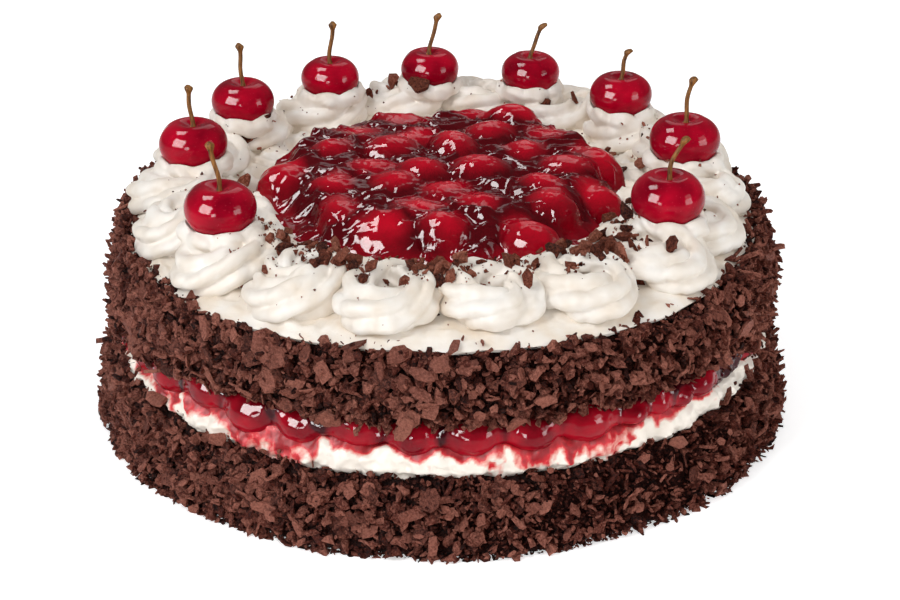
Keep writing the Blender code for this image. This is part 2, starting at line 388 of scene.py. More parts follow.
def cherry_glaze(name, thin, deep):
    """Stewed cherries in thickened juice: wet, sharp highlights, bright red where the glaze is thin
    over the fruit and almost black where it lies deep; the attribute depth also carries painted
    shade, darker towards each fruit's edges and in the gaps between fruit."""
    material, tree, shader = new_material(name)
    place = add_node(tree, "ShaderNodeTexCoord").outputs["Object"]
    depth = add_node(tree, "ShaderNodeAttribute", attribute_name="depth").outputs["Fac"]
    mottle = add_node(tree, "ShaderNodeTexNoise", {"Scale": 1 / (8 * MM), "Detail": 3.0}, {"Vector": place})
    mixed = add_node(tree, "ShaderNodeMath", {1: 0.5}, {0: mottle.outputs["Fac"], 2: depth},
                     operation="MULTIPLY_ADD")
    # Deeper glaze and painted shade together: the colour darkens towards almost black as depth rises.
    ramp = add_node(tree, "ShaderNodeValToRGB", links={"Fac": mixed.outputs[0]})
    set_ramp(ramp, [(0.16, thin), (0.5, blend(thin, deep, 0.5)), (0.8, blend(thin, deep, 0.84)), (0.96, deep)])
    tree.links.new(ramp.outputs["Color"], shader.inputs["Base Color"])
    folds = add_node(tree, "ShaderNodeTexNoise", {"Scale": 1 / (4.2 * MM), "Detail": 2.0, "Distortion": 1.2},
                     {"Vector": place})
    gathered = add_node(tree, "ShaderNodeMath", {1: 0.94, 2: 0.06}, {0: depth}, operation="MULTIPLY_ADD")
    relief = add_node(tree, "ShaderNodeMath", links={0: folds.outputs["Fac"], 1: gathered.outputs[0]},
                      operation="MULTIPLY")
    bump(tree, shader, relief.outputs[0], 1.1 * MM)
    shader.inputs["Roughness"].default_value = 0.4
    shader.inputs["Specular IOR Level"].default_value = 0.0
    shader.inputs["Coat Weight"].default_value = 1.0
    shader.inputs["Coat IOR"].default_value = 1.26
    shader.inputs["Coat Roughness"].default_value = 0.06
    return material


def cherry_skin(name, light, dark):
    """Ripe cherry skin: taut, waxed by nature, deep crimson with tiny paler dots."""
    material, tree, shader = new_material(name)
    place = add_node(tree, "ShaderNodeTexCoord").outputs["Object"]
    shade = add_node(tree, "ShaderNodeTexNoise", {"Scale": 1 / (11 * MM), "Detail": 3.0}, {"Vector": place})
    ramp = add_node(tree, "ShaderNodeValToRGB", links={"Fac": shade.outputs["Fac"]})
    set_ramp(ramp, [(0.3, dark), (0.7, light)])
    dots = add_node(tree, "ShaderNodeTexVoronoi", {"Scale": 1 / (1.3 * MM)}, {"Vector": place})
    near = add_node(tree, "ShaderNodeMapRange", {1: 0.0, 2: 0.22, 3: 0.3, 4: 0.0},
                    {0: dots.outputs["Distance"]})
    mixed = add_node(tree, "ShaderNodeMix", {7: srgb("#D8465A")},
                     {0: near.outputs[0], 6: ramp.outputs["Color"]}, data_type="RGBA")
    tree.links.new(mixed.outputs[2], shader.inputs["Base Color"])
    dents = add_node(tree, "ShaderNodeTexNoise", {"Scale": 1 / (7 * MM), "Detail": 2.0}, {"Vector": place})
    bump(tree, shader, dents.outputs["Fac"], 0.35 * MM)
    shader.inputs["Roughness"].default_value = 0.4
    shader.inputs["Specular IOR Level"].default_value = 0.0
    shader.inputs["Coat Weight"].default_value = 1.0
    shader.inputs["Coat IOR"].default_value = 1.2
    shader.inputs["Coat Roughness"].default_value = 0.05
    return material


def cherry_stem(name, light, dark):
    """A drying cherry stem: woody, brown to olive, with fine bark lengthwise."""
    material, tree, shader = new_material(name)
    place = add_node(tree, "ShaderNodeTexCoord").outputs["Object"]
    along = add_node(tree, "ShaderNodeMapping", {"Scale": (1, 1, 0.2)}, {"Vector": place})
    bark = add_node(tree, "ShaderNodeTexNoise", {"Scale": 1 / (0.9 * MM), "Detail": 4.0},
                    {"Vector": along.outputs[0]})
    ramp = add_node(tree, "ShaderNodeValToRGB", links={"Fac": bark.outputs["Fac"]})
    set_ramp(ramp, [(0.3, dark), (0.52, blend(dark, light, 0.5)), (0.75, light)])
    tree.links.new(ramp.outputs["Color"], shader.inputs["Base Color"])
    bump(tree, shader, bark.outputs["Fac"], 0.2 * MM)
    shader.inputs["Roughness"].default_value = 0.6
    shader.inputs["Specular IOR Level"].default_value = 0.08
    return material


def studio_floor(name, paper):
    """Seamless white paper."""
    material, tree, shader = new_material(name)
    place = add_node(tree, "ShaderNodeTexCoord").outputs["Object"]
    fibre = add_node(tree, "ShaderNodeTexNoise", {"Scale": 1 / (2 * MM), "Detail": 3.0}, {"Vector": place})
    bump(tree, shader, fibre.outputs["Fac"], 0.02 * MM)
    shader.inputs["Base Color"].default_value = paper
    shader.inputs["Emission Color"].default_value = srgb("#FFFFFF")
    shader.inputs["Emission Strength"].default_value = 0.5
    shader.inputs["Roughness"].default_value = 0.9
    shader.inputs["Specular IOR Level"].default_value = 0.1
    return material


# Scattering


def broken_plate(chance, width, thickness, bend, sides=8):
    """A unit-long broken flake: a jagged outline, thin edges and a slight bend."""
    body = bmesh.new()
    layers = []
    outline = []
    for i in range(sides):
        angle = TURN * (i + chance.uniform(-0.3, 0.3)) / sides
        reach = chance.uniform(0.62, 1.0) / 2
        outline.append((reach * math.cos(angle), width * reach * math.sin(angle)))
    for side in (-0.5, 0.5):
        ring = [body.verts.new((x, y, bend * (x * 2) ** 2 + side * thickness * chance.uniform(0.5, 1.1)))
                for x, y in outline]
        centre = body.verts.new((0.03, 0, side * thickness * 1.25))
        layers.append((ring, centre))
    (below, under), (above, over) = layers
    for i in range(sides):
        j = (i + 1) % sides
        body.faces.new((below[j], below[i], under))
        body.faces.new((above[i], above[j], over))
        body.faces.new((below[i], below[j], above[j], above[i]))
    return body


def broken_shard(chance, width, thickness, sides=5, stations=4):
    """A unit-long splinter of chocolate: ridged along its length and ragged at both ends."""
    body = bmesh.new()
    rings = []
    for station in range(stations):
        share = station / (stations - 1)
        swell = 0.45 + 0.55 * math.sin(math.pi * (0.12 + 0.76 * share))
        aside, lift = chance.uniform(-0.06, 0.06), chance.uniform(-0.05, 0.05)
        ring = []
        for i in range(sides):
            angle = TURN * i / sides
            reach = swell * chance.uniform(0.65, 1.2) / 2
            ring.append(body.verts.new((share - 0.5 + chance.uniform(-0.07, 0.07),
                                        aside + width * reach * math.cos(angle),
                                        lift + thickness * reach * math.sin(angle))))
        rings.append(ring)
    for before, after in zip(rings, rings[1:]):
        for i in range(sides):
            j = (i + 1) % sides
            body.faces.new((before[i], before[j], after[j], after[i]))
    body.faces.new(rings[0][::-1])
    body.faces.new(rings[-1])
    return body


def broken_lump(chance, width, height, level, rough):
    """A unit-long crumb with broken faces."""
    body = bmesh.new()
    bmesh.ops.create_icosphere(body, subdivisions=level, radius=0.5)
    for vertex in body.verts:
        swell = 1 + chance.uniform(-rough, rough)
        vertex.co = Vector((vertex.co.x, vertex.co.y * width, vertex.co.z * height)) * swell
    return body


def broken_chip(chance, width, height, corners=9):
    """A unit-long angular piece with flat broken faces and sharp edges."""
    body = bmesh.new()
    for _ in range(corners):
        way = Vector((chance.gauss(0, 1), chance.gauss(0, 1), chance.gauss(0, 1))).normalized()
        reach = chance.uniform(0.85, 1.1) / 2
        body.verts.new((way.x * reach, way.y * reach * width, way.z * reach * height))
    hull = bmesh.ops.convex_hull(body, input=body.verts)
    inside = [item for item in hull["geom_interior"] if isinstance(item, bmesh.types.BMVert)]
    bmesh.ops.delete(body, geom=inside, context="VERTS")
    return body


def broken_grain(chance):
    """The smallest crumb: eight faces."""
    body = bmesh.new()
    ends = []
    for axis in range(3):
        for side in (-0.5, 0.5):
            place = Vector((chance.uniform(-0.14, 0.14) for _ in range(3)))
            place[axis] = side * chance.uniform(0.6, 1.0)
            ends.append(body.verts.new(place))
    left, right, near, far, below, above = ends
    for a, b in ((right, far), (far, left), (left, near), (near, right)):
        body.faces.new((a, b, above))
        body.faces.new((b, a, below))
    return body


def shapes(name, makers, seed):
    """A collection of loose shapes to scatter. It isn't linked to the scene."""
    kept = bpy.data.collections.new(name)
    for number, maker in enumerate(makers):
        body = maker(random.Random(seed + number))
        bmesh.ops.recalc_face_normals(body, faces=body.faces)
        mesh = bpy.data.meshes.new(f"{name}_{number}")
        body.to_mesh(mesh)
        body.free()
        kept.objects.link(bpy.data.objects.new(mesh.name, mesh))
    return kept


def scatter_tree():
    """Strews a collection's shapes over a mesh. The mesh's point attribute cover, 0 to 1, thins them
    out, and each shape gets an attribute tone of its own."""
    found = bpy.data.node_groups.get("scatter_broken_chocolate")
    if found:
        return found
    tree = bpy.data.node_groups.new("scatter_broken_chocolate", "GeometryNodeTree")
    tree.interface.new_socket("Geometry", in_out="INPUT", socket_type="NodeSocketGeometry")
    for name, kind in (
        ("Shapes", "NodeSocketCollection"), ("Finish", "NodeSocketMaterial"), ("Per Area", "NodeSocketFloat"),
        ("Smallest", "NodeSocketFloat"), ("Largest", "NodeSocketFloat"), ("Lowest Lift", "NodeSocketFloat"),
        ("Highest Lift", "NodeSocketFloat"), ("Tilt", "NodeSocketFloat"), ("Seed", "NodeSocketInt"),
    ):
        tree.interface.new_socket(name, in_out="INPUT", socket_type=kind)
    tree.interface.new_socket("Geometry", in_out="OUTPUT", socket_type="NodeSocketGeometry")
    given = add_node(tree, "NodeGroupInput").outputs
    cover = add_node(tree, "GeometryNodeInputNamedAttribute", {"Name": "cover"}, data_type="FLOAT")
    share = add_node(tree, "ShaderNodeMath", links={0: given["Per Area"], 1: cover.outputs["Attribute"]},
                     operation="MULTIPLY")
    spread = add_node(tree, "GeometryNodeDistributePointsOnFaces",
                      links={"Mesh": given["Geometry"], "Density": share.outputs[0], "Seed": given["Seed"]})
    lift = add_node(tree, "FunctionNodeRandomValue", data_type="FLOAT",
                    links={"Min": given["Lowest Lift"], "Max": given["Highest Lift"], "Seed": given["Seed"]})
    raised = add_node(tree, "ShaderNodeVectorMath", operation="SCALE",
                      links={0: spread.outputs["Normal"], "Scale": lift.outputs[1]})
    points = add_node(tree, "GeometryNodeSetPosition",
                      links={"Geometry": spread.outputs["Points"], "Offset": raised.outputs[0]})
    most = add_node(tree, "ShaderNodeCombineXYZ", {"Z": math.pi}, {"X": given["Tilt"], "Y": given["Tilt"]})
    least = add_node(tree, "ShaderNodeVectorMath", {"Scale": -1.0}, {0: most.outputs[0]}, operation="SCALE")
    leaning = add_node(tree, "FunctionNodeRandomValue", data_type="FLOAT_VECTOR",
                       links={"Min": least.outputs[0], "Max": most.outputs[0], "Seed": given["Seed"]})
    lean = add_node(tree, "FunctionNodeEulerToRotation", links={"Euler": leaning.outputs[0]})
    turned = add_node(tree, "FunctionNodeRotateRotation", rotation_space="LOCAL",
                      links={"Rotation": spread.outputs["Rotation"], "Rotate By": lean.outputs[0]})
    next_seed = add_node(tree, "ShaderNodeMath", {1: 17.0}, {0: given["Seed"]}, operation="ADD")
    chance = add_node(tree, "FunctionNodeRandomValue", data_type="FLOAT", links={"Seed": next_seed.outputs[0]})
    skewed = add_node(tree, "ShaderNodeMath", {1: 1.8}, {0: chance.outputs[1]}, operation="POWER")
    size = add_node(tree, "ShaderNodeMapRange",
                    links={"Value": skewed.outputs[0], "To Min": given["Smallest"], "To Max": given["Largest"]})
    kinds = add_node(tree, "GeometryNodeCollectionInfo", {"Separate Children": True, "Reset Children": True},
                     {"Collection": given["Shapes"]})
    placed = add_node(tree, "GeometryNodeInstanceOnPoints", {"Pick Instance": True},
                      {"Points": points.outputs[0], "Instance": kinds.outputs[0],
                       "Rotation": turned.outputs[0], "Scale": size.outputs[0]})
    tone = add_node(tree, "FunctionNodeRandomValue", data_type="FLOAT", links={"Seed": given["Seed"]})
    toned = add_node(tree, "GeometryNodeStoreNamedAttribute", {"Name": "tone"},
                     {"Geometry": placed.outputs[0], "Value": tone.outputs[1]},
                     data_type="FLOAT", domain="INSTANCE")
    real = add_node(tree, "GeometryNodeRealizeInstances", links={"Geometry": toned.outputs[0]})
    finished = add_node(tree, "GeometryNodeSetMaterial",
                        links={"Geometry": real.outputs[0], "Material": given["Finish"]})
    add_node(tree, "NodeGroupOutput", links={"Geometry": finished.outputs[0]})
    return tree


def scatter(name, ground, kept, finish, per_area, sizes, lifts, tilt, seed, smooth=False):
    """A plain mesh of shapes strewn over ground, which stays as it is."""
    obj = new_object(name, ground.data.copy())
    tree = scatter_tree()
    strewn = obj.modifiers.new("strewn", "NODES")
    strewn.node_group = tree
    given = {
        "Shapes": kept, "Finish": finish, "Per Area": per_area / 1e-6, "Smallest": sizes[0] * MM,
        "Largest": sizes[1] * MM, "Lowest Lift": lifts[0] * MM, "Highest Lift": lifts[1] * MM,
        "Tilt": tilt, "Seed": seed,
    }
    for item in tree.interface.items_tree:
        if item.in_out == "INPUT" and item.name in given:
            strewn[item.identifier] = given[item.name]
    settle(obj)
    mesh = obj.data
    mesh.polygons.foreach_set("use_smooth", [smooth] * len(mesh.polygons))
    for attribute in [found.name for found in mesh.attributes if found.name == "cover"]:
        mesh.attributes.remove(mesh.attributes[attribute])
    tuck_in(mesh)
    return obj


def tuck_in(mesh):
    """Nothing stands further out than the coat's own reach, or below the floor."""
    points = coordinates(mesh)
    out = np.hypot(points[:, 0], points[:, 1])
    points[:, :2] *= np.minimum(1, REACH / np.maximum(out, 1e-6))[:, None]
    lowest, highest = np.array(CAD_BOX) + 0.02 * MM * np.array([[1], [-1]])
    points[:] = np.clip(points, lowest, highest)
    set_coordinates(mesh, points)


# The coated sponges


def profile_rings(profile, rows_between, columns):
    """Rings along a profile of (radius, height) points, with rows_between rings for each stretch."""
    profile = np.array(profile)
    stations = np.linspace(0, len(profile) - 1, (len(profile) - 1) * rows_between + 1)
    radius = np.interp(stations, np.arange(len(profile)), profile[:, 0])
    height = np.interp(stations, np.arange(len(profile)), profile[:, 1])
    angle = around(columns)
    rings = np.empty((len(stations), columns, 3))
    rings[:, :, 0] = radius[:, None] * np.cos(angle)
    rings[:, :, 1] = radius[:, None] * np.sin(angle)
    rings[:, :, 2] = height[:, None]
    return rings


def away_from_front(points):
    """Degrees from the front of the cake, 0 to 180."""
    return np.abs(np.degrees(np.arctan2(points[:, 0], -points[:, 1])))


def to_the_sides(points):
    """0 in front, 1 at both sides and about a half at the back."""
    turned = away_from_front(points)
    return smooth_step(38, 74, turned) * (1 - 0.5 * smooth_step(100, 140, turned))


def coated_wall(name, profile, wall, edges, seed, columns):
    """The crumb-covered body under the shavings, with its attribute cover set to 1 on its side from
    the radius wall outwards, and its tone set low so it shows near-black between the shavings as
    painted shade. edges holds heights of the wall's edges and how far each climbs or sags
    at the sides of the cake."""
    rings = profile_rings(profile, 5, columns)
    flat = rings.reshape(-1, 3)
    outward = flat * (1, 1, 0) / np.maximum(np.hypot(flat[:, 0], flat[:, 1]), 1e-6)[:, None]
    swell = 1.2 * MM * lumps(flat, 9 * MM, seed, 2) + 0.5 * MM * lumps(flat, 2.6 * MM, seed + 1)
    inner = smooth_step(0.104, 0.110, np.hypot(flat[:, 0], flat[:, 1]))
    flat += outward * (swell * inner)[:, None]
    ragged = 0.9 * MM * lumps(flat * (1, 1, 0), 6 * MM, seed + 2, 2)
    for edge, shift in edges:
        near_edge = smooth_step(9 * MM, 0, np.abs(flat[:, 2] - edge))
        flat[:, 2] += near_edge * (shift * to_the_sides(flat) + ragged) * inner
    obj = wrap(name, flat.reshape(rings.shape))
    points = coordinates(obj.data)
    out = np.hypot(points[:, 0], points[:, 1])
    paint(obj.data, "cover", smooth_step(wall - 3 * MM, wall, out))
    # Painted shade: a low tone makes the wall show near-black in the gaps between the shavings.
    paint(obj.data, "tone", np.full(len(points), 0.1))
    return obj


class CoatSettings(PropertyGroup):
    light: FloatVectorProperty(name="Scraped face", description="Colour of the palest scraped faces",
                               default=srgb("#AE6F5E"), size=4, min=0, max=1, subtype="COLOR")
    broken: FloatVectorProperty(name="Broken face", description="Colour of most of the broken chocolate",
                                default=srgb("#5A281E"), size=4, min=0, max=1, subtype="COLOR")
    # The darkest chocolate colour; the wall under the shavings and the darker copy carry it as painted shade in the
    # gaps.
    dark: FloatVectorProperty(name="Gap", description="Colour deep between the shavings",
                              default=srgb("#160504"), size=4, min=0, max=1, subtype="COLOR")
    flake: FloatProperty(name="Largest flake", description="Length of the largest shaving",
                         default=13 * MM, min=4 * MM, max=20 * MM, unit="LENGTH")
    chip: FloatProperty(name="Largest chip", description="Length of the largest angular chip",
                        default=7 * MM, min=2 * MM, max=10 * MM, unit="LENGTH")
    crumb: FloatProperty(name="Largest crumb", description="Length of the largest crumb",
                         default=2.2 * MM, min=1 * MM, max=4 * MM, unit="LENGTH")


class MakeCoat(Operator):
    """Both sponges in their coat of shaved chocolate"""
    bl_idname = "cake.coat"
    bl_label = "Coated Sponges"

    def execute(self, context):
        settings = context.scene.cake_coat
        columns = 480
        black = tuple(settings.dark)
        light, broken = tuple(settings.light), tuple(settings.broken)
        finish = shaved_chocolate("shaved_couverture", light, broken, black, 1.0 * MM, 1.1)
        # A paler, evener copy of the chocolate for the flat shavings: partly their smoother scraped faces, partly
        # painted sheen.
        scraped = shaved_chocolate("scraped_couverture", blend(light, broken, 0.1), blend(broken, light, 0.3),
                                   blend(black, broken, 0.25), 0.9 * MM, 0.9)
        # A darker copy of the chocolate: painted shade for the wall under the shavings and the lowest crumbs.
        deep = shaved_chocolate("crumbled_couverture", blend(broken, light, 0.1), blend(broken, black, 0.55),
                                black, 0.8 * MM)
        plates = shapes("plates", [lambda c: broken_plate(c, 0.75, 0.09, 0.10),
                                   lambda c: broken_plate(c, 0.6, 0.1, -0.06, 9),
                                   lambda c: broken_plate(c, 0.9, 0.08, 0.04, 7),
                                   lambda c: broken_plate(c, 0.55, 0.12, 0.16),
                                   lambda c: broken_plate(c, 0.7, 0.1, -0.12, 9),
                                   lambda c: broken_plate(c, 0.48, 0.14, 0.1, 7)], 11)
        shards = shapes("shards", [lambda c, i=i: broken_shard(c, 0.5 - 0.04 * i, 0.26 - 0.015 * i)
                                   for i in range(6)], 91)
        granules = shapes("granules", [lambda c, i=i: broken_chip(c, 0.85 - 0.05 * i, 0.65, 8)
                                       for i in range(6)], 31)
        chunks = shapes("chunks", [lambda c, i=i: broken_chip(c, 0.95 - 0.06 * i, 0.5 + 0.04 * i, 12)
                                   for i in range(8)], 71)
        grains = shapes("grains", [broken_grain] * 6, 51)
        lower = [(0.100, 0.6 * MM), (0.1190, 0.3 * MM), (0.1207, 2.5 * MM), (0.1180, 9 * MM),
                 (0.1163, LOWER_TOP - 6 * MM), (0.1140, LOWER_TOP - 0.8 * MM), (0.100, LOWER_TOP)]
        upper = [(0.100, UPPER_LOW), (0.1118, UPPER_LOW + 0.6 * MM), (0.1134, UPPER_LOW + 4 * MM),
                 (0.1132, UPPER_LOW + 12 * MM), (0.1123, UPPER_TOP - 5 * MM),
                 (0.1106, UPPER_TOP - 0.2 * MM), (0.100, UPPER_TOP)]
        for name, profile, node, radius, edges, seed in (
            ("lower", lower, "lower_sponge", 0.1140, [(LOWER_TOP, 3.5 * MM)], 3),
            ("upper", upper, "upper_sponge", 0.1108, [(UPPER_LOW, -7.5 * MM), (UPPER_TOP, 3.6 * MM)], 8),
        ):
            wall = coated_wall(f"{name}_coated_sponge", profile, radius, edges, seed, columns)
            points = coordinates(wall.data)
            cover = np.empty(len(points))
            wall.data.attributes["cover"].data.foreach_get("value", cover)
            patch = lumps(points, 24 * MM, seed + 4, 2)
            leftwards = smooth_step(0.06, -0.04, points[:, 0])
            heights = points[:, 2]
            waist = smooth_step(heights.min(), heights.min() + 7 * MM, heights) * smooth_step(
                heights.max() - 1 * MM, heights.max() - 8 * MM, heights)
            share = 1.0
            big = (0.75 + 0.25 * leftwards) if name == "upper" else (0.3 + 0.7 * leftwards)
            flake, chip, crumb = settings.flake / MM, settings.chip / MM, settings.crumb / MM
            kinds = (
                ("broad_plates", plates, scraped, 0.022, (0.45 * flake, flake), (2.2, 4.0), 0.45,
                 (0.04 + 0.96 * leftwards + 0.3 * patch) * waist),
                ("plates", plates, scraped, 0.085, (0.24 * flake, 0.54 * flake), (1.4, 3.6), 1.0,
                 big * (0.8 + 0.6 * patch)),
                ("chunks", chunks, finish, 0.150, (0.45 * chip, 1.05 * chip), (1.0, 3.0), 3.1, big - 0.4 * patch),
                ("shards", shards, finish, 0.09, (0.37 * chip, 0.9 * chip), (0.8, 3.0), 3.1,
                 0.5 + 0.5 * big - 0.3 * patch),
                ("spikes", shards, finish, 0.045, (0.7 * chip, 1.15 * chip), (2.0, 4.4), 3.1,
                 0.3 + 0.9 * to_the_sides(points)),
                ("granules", granules, finish, 0.25, (0.6 * crumb, 1.6 * crumb), (0.8, 2.8), 3.1, 1.0 - 0.3 * patch),
                # The crumbs wear the darker copy: painted shade low in the coat.
                ("crumbs", grains, deep, 0.50, (0.4 * crumb, crumb), (0.0, 1.8), 3.1, 1.0 - 0.3 * patch),
            )
            for number, (kind, kept, skin, per_area, sizes, lifts, tilt, thick) in enumerate(kinds):
                paint(wall.data, "cover", np.clip(cover * np.clip(thick, 0.02, 1.4), 0, 1.4))
                piece = scatter(f"{name}_{kind}", wall, kept, skin, per_area * share, sizes, lifts, tilt,
                                seed + 10 * number)
                dress(piece, skin)
            # The wall wears the darker copy: painted shade where it shows between the shavings.
            dress(wall, deep, [node])

        columns = 360
        brim = profile_rings([(0.1120, UPPER_TOP - 3 * MM), (0.1132, UPPER_TOP - 0.5 * MM),
                              (0.1130, UPPER_TOP + 0.6 * MM), (0.1120, UPPER_TOP + 1.7 * MM)], 3, columns)
        spill = profile_rings([(0.1180, 2.2 * MM), (0.1205, 1.0 * MM), (0.1228, 0.3 * MM)], 4, columns)
        for name, rings, kinds in (
            ("brim", brim, (("chunks", chunks, 0.14, (2.6, 7.0), (0.0, 1.6)),
                            ("granules", granules, 0.36, (1.3, 3.2), (0.0, 1.2)),
                            ("crumbs", grains, 0.60, (0.8, 1.8), (0.0, 0.8)))),
            ("spill", spill, (("plates", plates, 0.035, (3.0, 7.0), (0.3, 1.2)),
                              ("shards", shards, 0.09, (2.5, 6.0), (0.2, 1.0)),
                              ("granules", granules, 0.16, (1.0, 2.8), (0.1, 0.6)))),
        ):
            flat = rings.reshape(-1, 3)
            if name == "brim":
                flat[:, 2] += 3.4 * MM * to_the_sides(flat)
            mesh = bpy.data.meshes.new(name)
            mesh.from_pydata(flat.tolist(), [], grid_faces(len(rings), columns))
            ground = new_object(name, mesh)
            patch = np.clip(0.5 + 1.3 * lumps(flat * (1, 1, 0), 8 * MM, 41, 2), 0, 1)
            for kind, kept, per_area, sizes, lifts in kinds:
                paint(mesh, "cover", patch)
                dress(scatter(f"{name}_{kind}", ground, kept, finish, per_area, sizes, lifts, 2.2, 7), finish)
            bpy.data.objects.remove(ground)
        return {"FINISHED"}


# The seam


class SeamSettings(PropertyGroup):
    pale: FloatVectorProperty(name="Cream", description="Colour of the filling cream", default=srgb("#F4ECE1"),
                              size=4, min=0, max=1, subtype="COLOR")
    thin: FloatVectorProperty(name="Fruit", description="Colour of the cherries under thin glaze",
                              default=srgb("#A80A20"), size=4, min=0, max=1, subtype="COLOR")
    # Also the colour of the painted shade in the gaps between the seam cherries.
    deep: FloatVectorProperty(name="Deep glaze", description="Colour where the glaze lies deep",
                              default=srgb("#3A030C"), size=4, min=0, max=1, subtype="COLOR")
    bleed: FloatProperty(name="Bleed", description="How far the juice has bled into the cream",
                         default=1.2, min=0, max=2, subtype="FACTOR")


def seam_fruit():
    """Middle, half axes and heading of each cherry that shows in the seam: whole ones at the front
    and left, smaller pieces at the right and in places at the back."""
    chance = random.Random(21)
    fruit = []
    angle = -0.55 * math.pi
    while angle < 1.45 * math.pi - 0.11:
        bearing = math.degrees(angle)
        whole = not (-60 < bearing < -10 or 60 < bearing < 100)
        length = chance.uniform(8.0, 10.8) if whole else chance.uniform(4.6, 7.0)
        tall = chance.uniform(6.8, 8.2) if whole else chance.uniform(3.4, 4.8)
        deep = 9.5 if whole else 6.0
        angle += length / 113
        out = chance.uniform(114.8, 117.2) - deep
        aside = float(to_the_sides(np.array([[math.cos(angle), math.sin(angle), 0]]))[0])
        height = chance.uniform(37.6, 39.6) - 2.6 * aside
        if chance.random() < 0.9:
            fruit.append(((out * MM * math.cos(angle), out * MM * math.sin(angle), height * MM),
                          (length * MM, deep * MM, tall * MM), angle + math.pi / 2))
        angle += (length + chance.uniform(-0.8, 1.0)) / 113
    return fruit


def nearness(points, fruit):
    """How far outside the nearest fruit each point lies, as a share of the fruit's size."""
    nearest = np.full(len(points), 9.0)
    for place, axes, turn in fruit:
        away = points - np.array(place)
        cos_turn, sin_turn = math.cos(turn), math.sin(turn)
        along = (away[:, 0] * cos_turn + away[:, 1] * sin_turn) / axes[0]
        across = (away[:, 1] * cos_turn - away[:, 0] * sin_turn) / axes[1]
        nearest = np.minimum(nearest, np.sqrt(along ** 2 + across ** 2 + (away[:, 2] / axes[2]) ** 2))
    return nearest


class MakeSeam(Operator):
    """The cream and the cherries between the sponges"""
    bl_idname = "cake.seam"
    bl_label = "Filling"

    def execute(self, context):
        settings = context.scene.cake_seam
        pale = tuple(settings.pale)
        fruit = seam_fruit()
        columns = 900
        profile = [(0.095, SEAM_LOW - 0.5 * MM), (0.1125, SEAM_LOW - 0.4 * MM), (0.1150, SEAM_LOW + 2.5 * MM),
                   (0.1150, SEAM_LOW + 6 * MM), (0.1128, CREAM_SPLIT - 0.2 * MM), (0.1085, CREAM_SPLIT + 1.6 * MM),
                   (0.095, CREAM_SPLIT + 2 * MM)]
        rings = profile_rings(profile, 6, columns)
        flat = rings.reshape(-1, 3)
        radius = np.hypot(flat[:, 0], flat[:, 1])
        outward = flat * (1, 1, 0) / radius[:, None]
        swell = (1.3 * MM * lumps(flat, 8 * MM, 4, 2) + 0.8 * MM * lumps(flat, 3.4 * MM, 5, 2)
                 + 0.3 * MM * lumps(flat, 1.3 * MM, 7))
        flat += outward * (swell * smooth_step(0.104, 0.111, radius))[:, None]
        upper = smooth_step(SEAM_LOW + 3 * MM, CREAM_SPLIT, flat[:, 2])
        flat[:, 2] += upper * (1.7 * MM * lumps(flat * (1, 1, 0), 9 * MM, 6, 2) - 2.6 * MM * to_the_sides(flat))
        cream = wrap("seam_cream", flat.reshape(rings.shape))
        points = coordinates(cream.data)
        near = nearness(points, fruit)
        runs = lumps(points * (1, 1, 0.4), 4.5 * MM, 9, 3)
        amount = np.clip(0.45 + 0.9 * lumps(points * (1, 1, 0), 22 * MM, 12), 0, 1)
        stain = 1.05 - (near - 1.0) / ((0.25 + 0.75 * amount) * max(settings.bleed, 0.05)) + 0.45 * runs
        paint(cream.data, "stain", np.clip(stain, 0, 1))
        dress(cream, whipped_cream("whipped_cream_stained", pale, blend(pale, (0.8, 0.72, 0.62, 1), 0.4), True), ["cream_filling"])

        parts = [ellipsoid(place, axes, turn) for place, axes, turn in fruit]
        juice = wrap("juice", profile_rings([(0.097, 34.5 * MM), (0.1105, 35.0 * MM), (0.1132, 37.0 * MM),
                                             (0.1136, 40.5 * MM), (0.1130, 43.5 * MM), (0.097, 45.5 * MM)], 3, 300))
        points = coordinates(juice.data)
        points += normals(juice.data) * (1.1 * MM * lumps(points, 7 * MM, 14, 2))[:, None]
        points[:, 2] -= 3.0 * MM * to_the_sides(points)
        set_coordinates(juice.data, points)
        band = join("seam_cherries", parts + [juice])
        fuse(band, 1.15 * MM, 3)
        points = coordinates(band.data)
        near = nearness(points, fruit)
        # Darker in the gaps between the fruit: partly deeper juice, partly painted shade.
        depth = smooth_step(1.0, 1.35, near)
        folds = 1 - 1.5 * np.abs(lumps(points, 5 * MM, 15, 2))
        points += normals(band.data) * (0.9 * MM * (folds - 0.4) * (0.15 + 0.85 * depth))[:, None]
        set_coordinates(band.data, points)
        # Random patches of painted shade laid over the depth.
        shadow = 0.3 * np.clip(lumps(points, 9 * MM, 16, 2) + 0.3, 0, 1)
        paint(band.data, "depth", np.clip(depth * 0.75 + shadow, 0, 1))
        dress(band, cherry_glaze("seam_cherry_glaze", tuple(settings.thin), tuple(settings.deep)), ["cherry_filling"])
        return {"FINISHED"}


# The cream on top and its rosettes


class TopCreamSettings(PropertyGroup):
    pale: FloatVectorProperty(name="Cream", description="Colour of the spread cream", default=srgb("#EAE5DE"),
                              size=4, min=0, max=1, subtype="COLOR")
    shade: FloatVectorProperty(name="Richer cream", description="Colour of its yellower patches",
                               default=srgb("#E0D3C2"), size=4, min=0, max=1, subtype="COLOR")
    ruffle: FloatProperty(name="Ruffle height", description="How high the cream stands inside the rosettes",
                          default=3.4 * MM, min=0, max=6 * MM, unit="LENGTH")


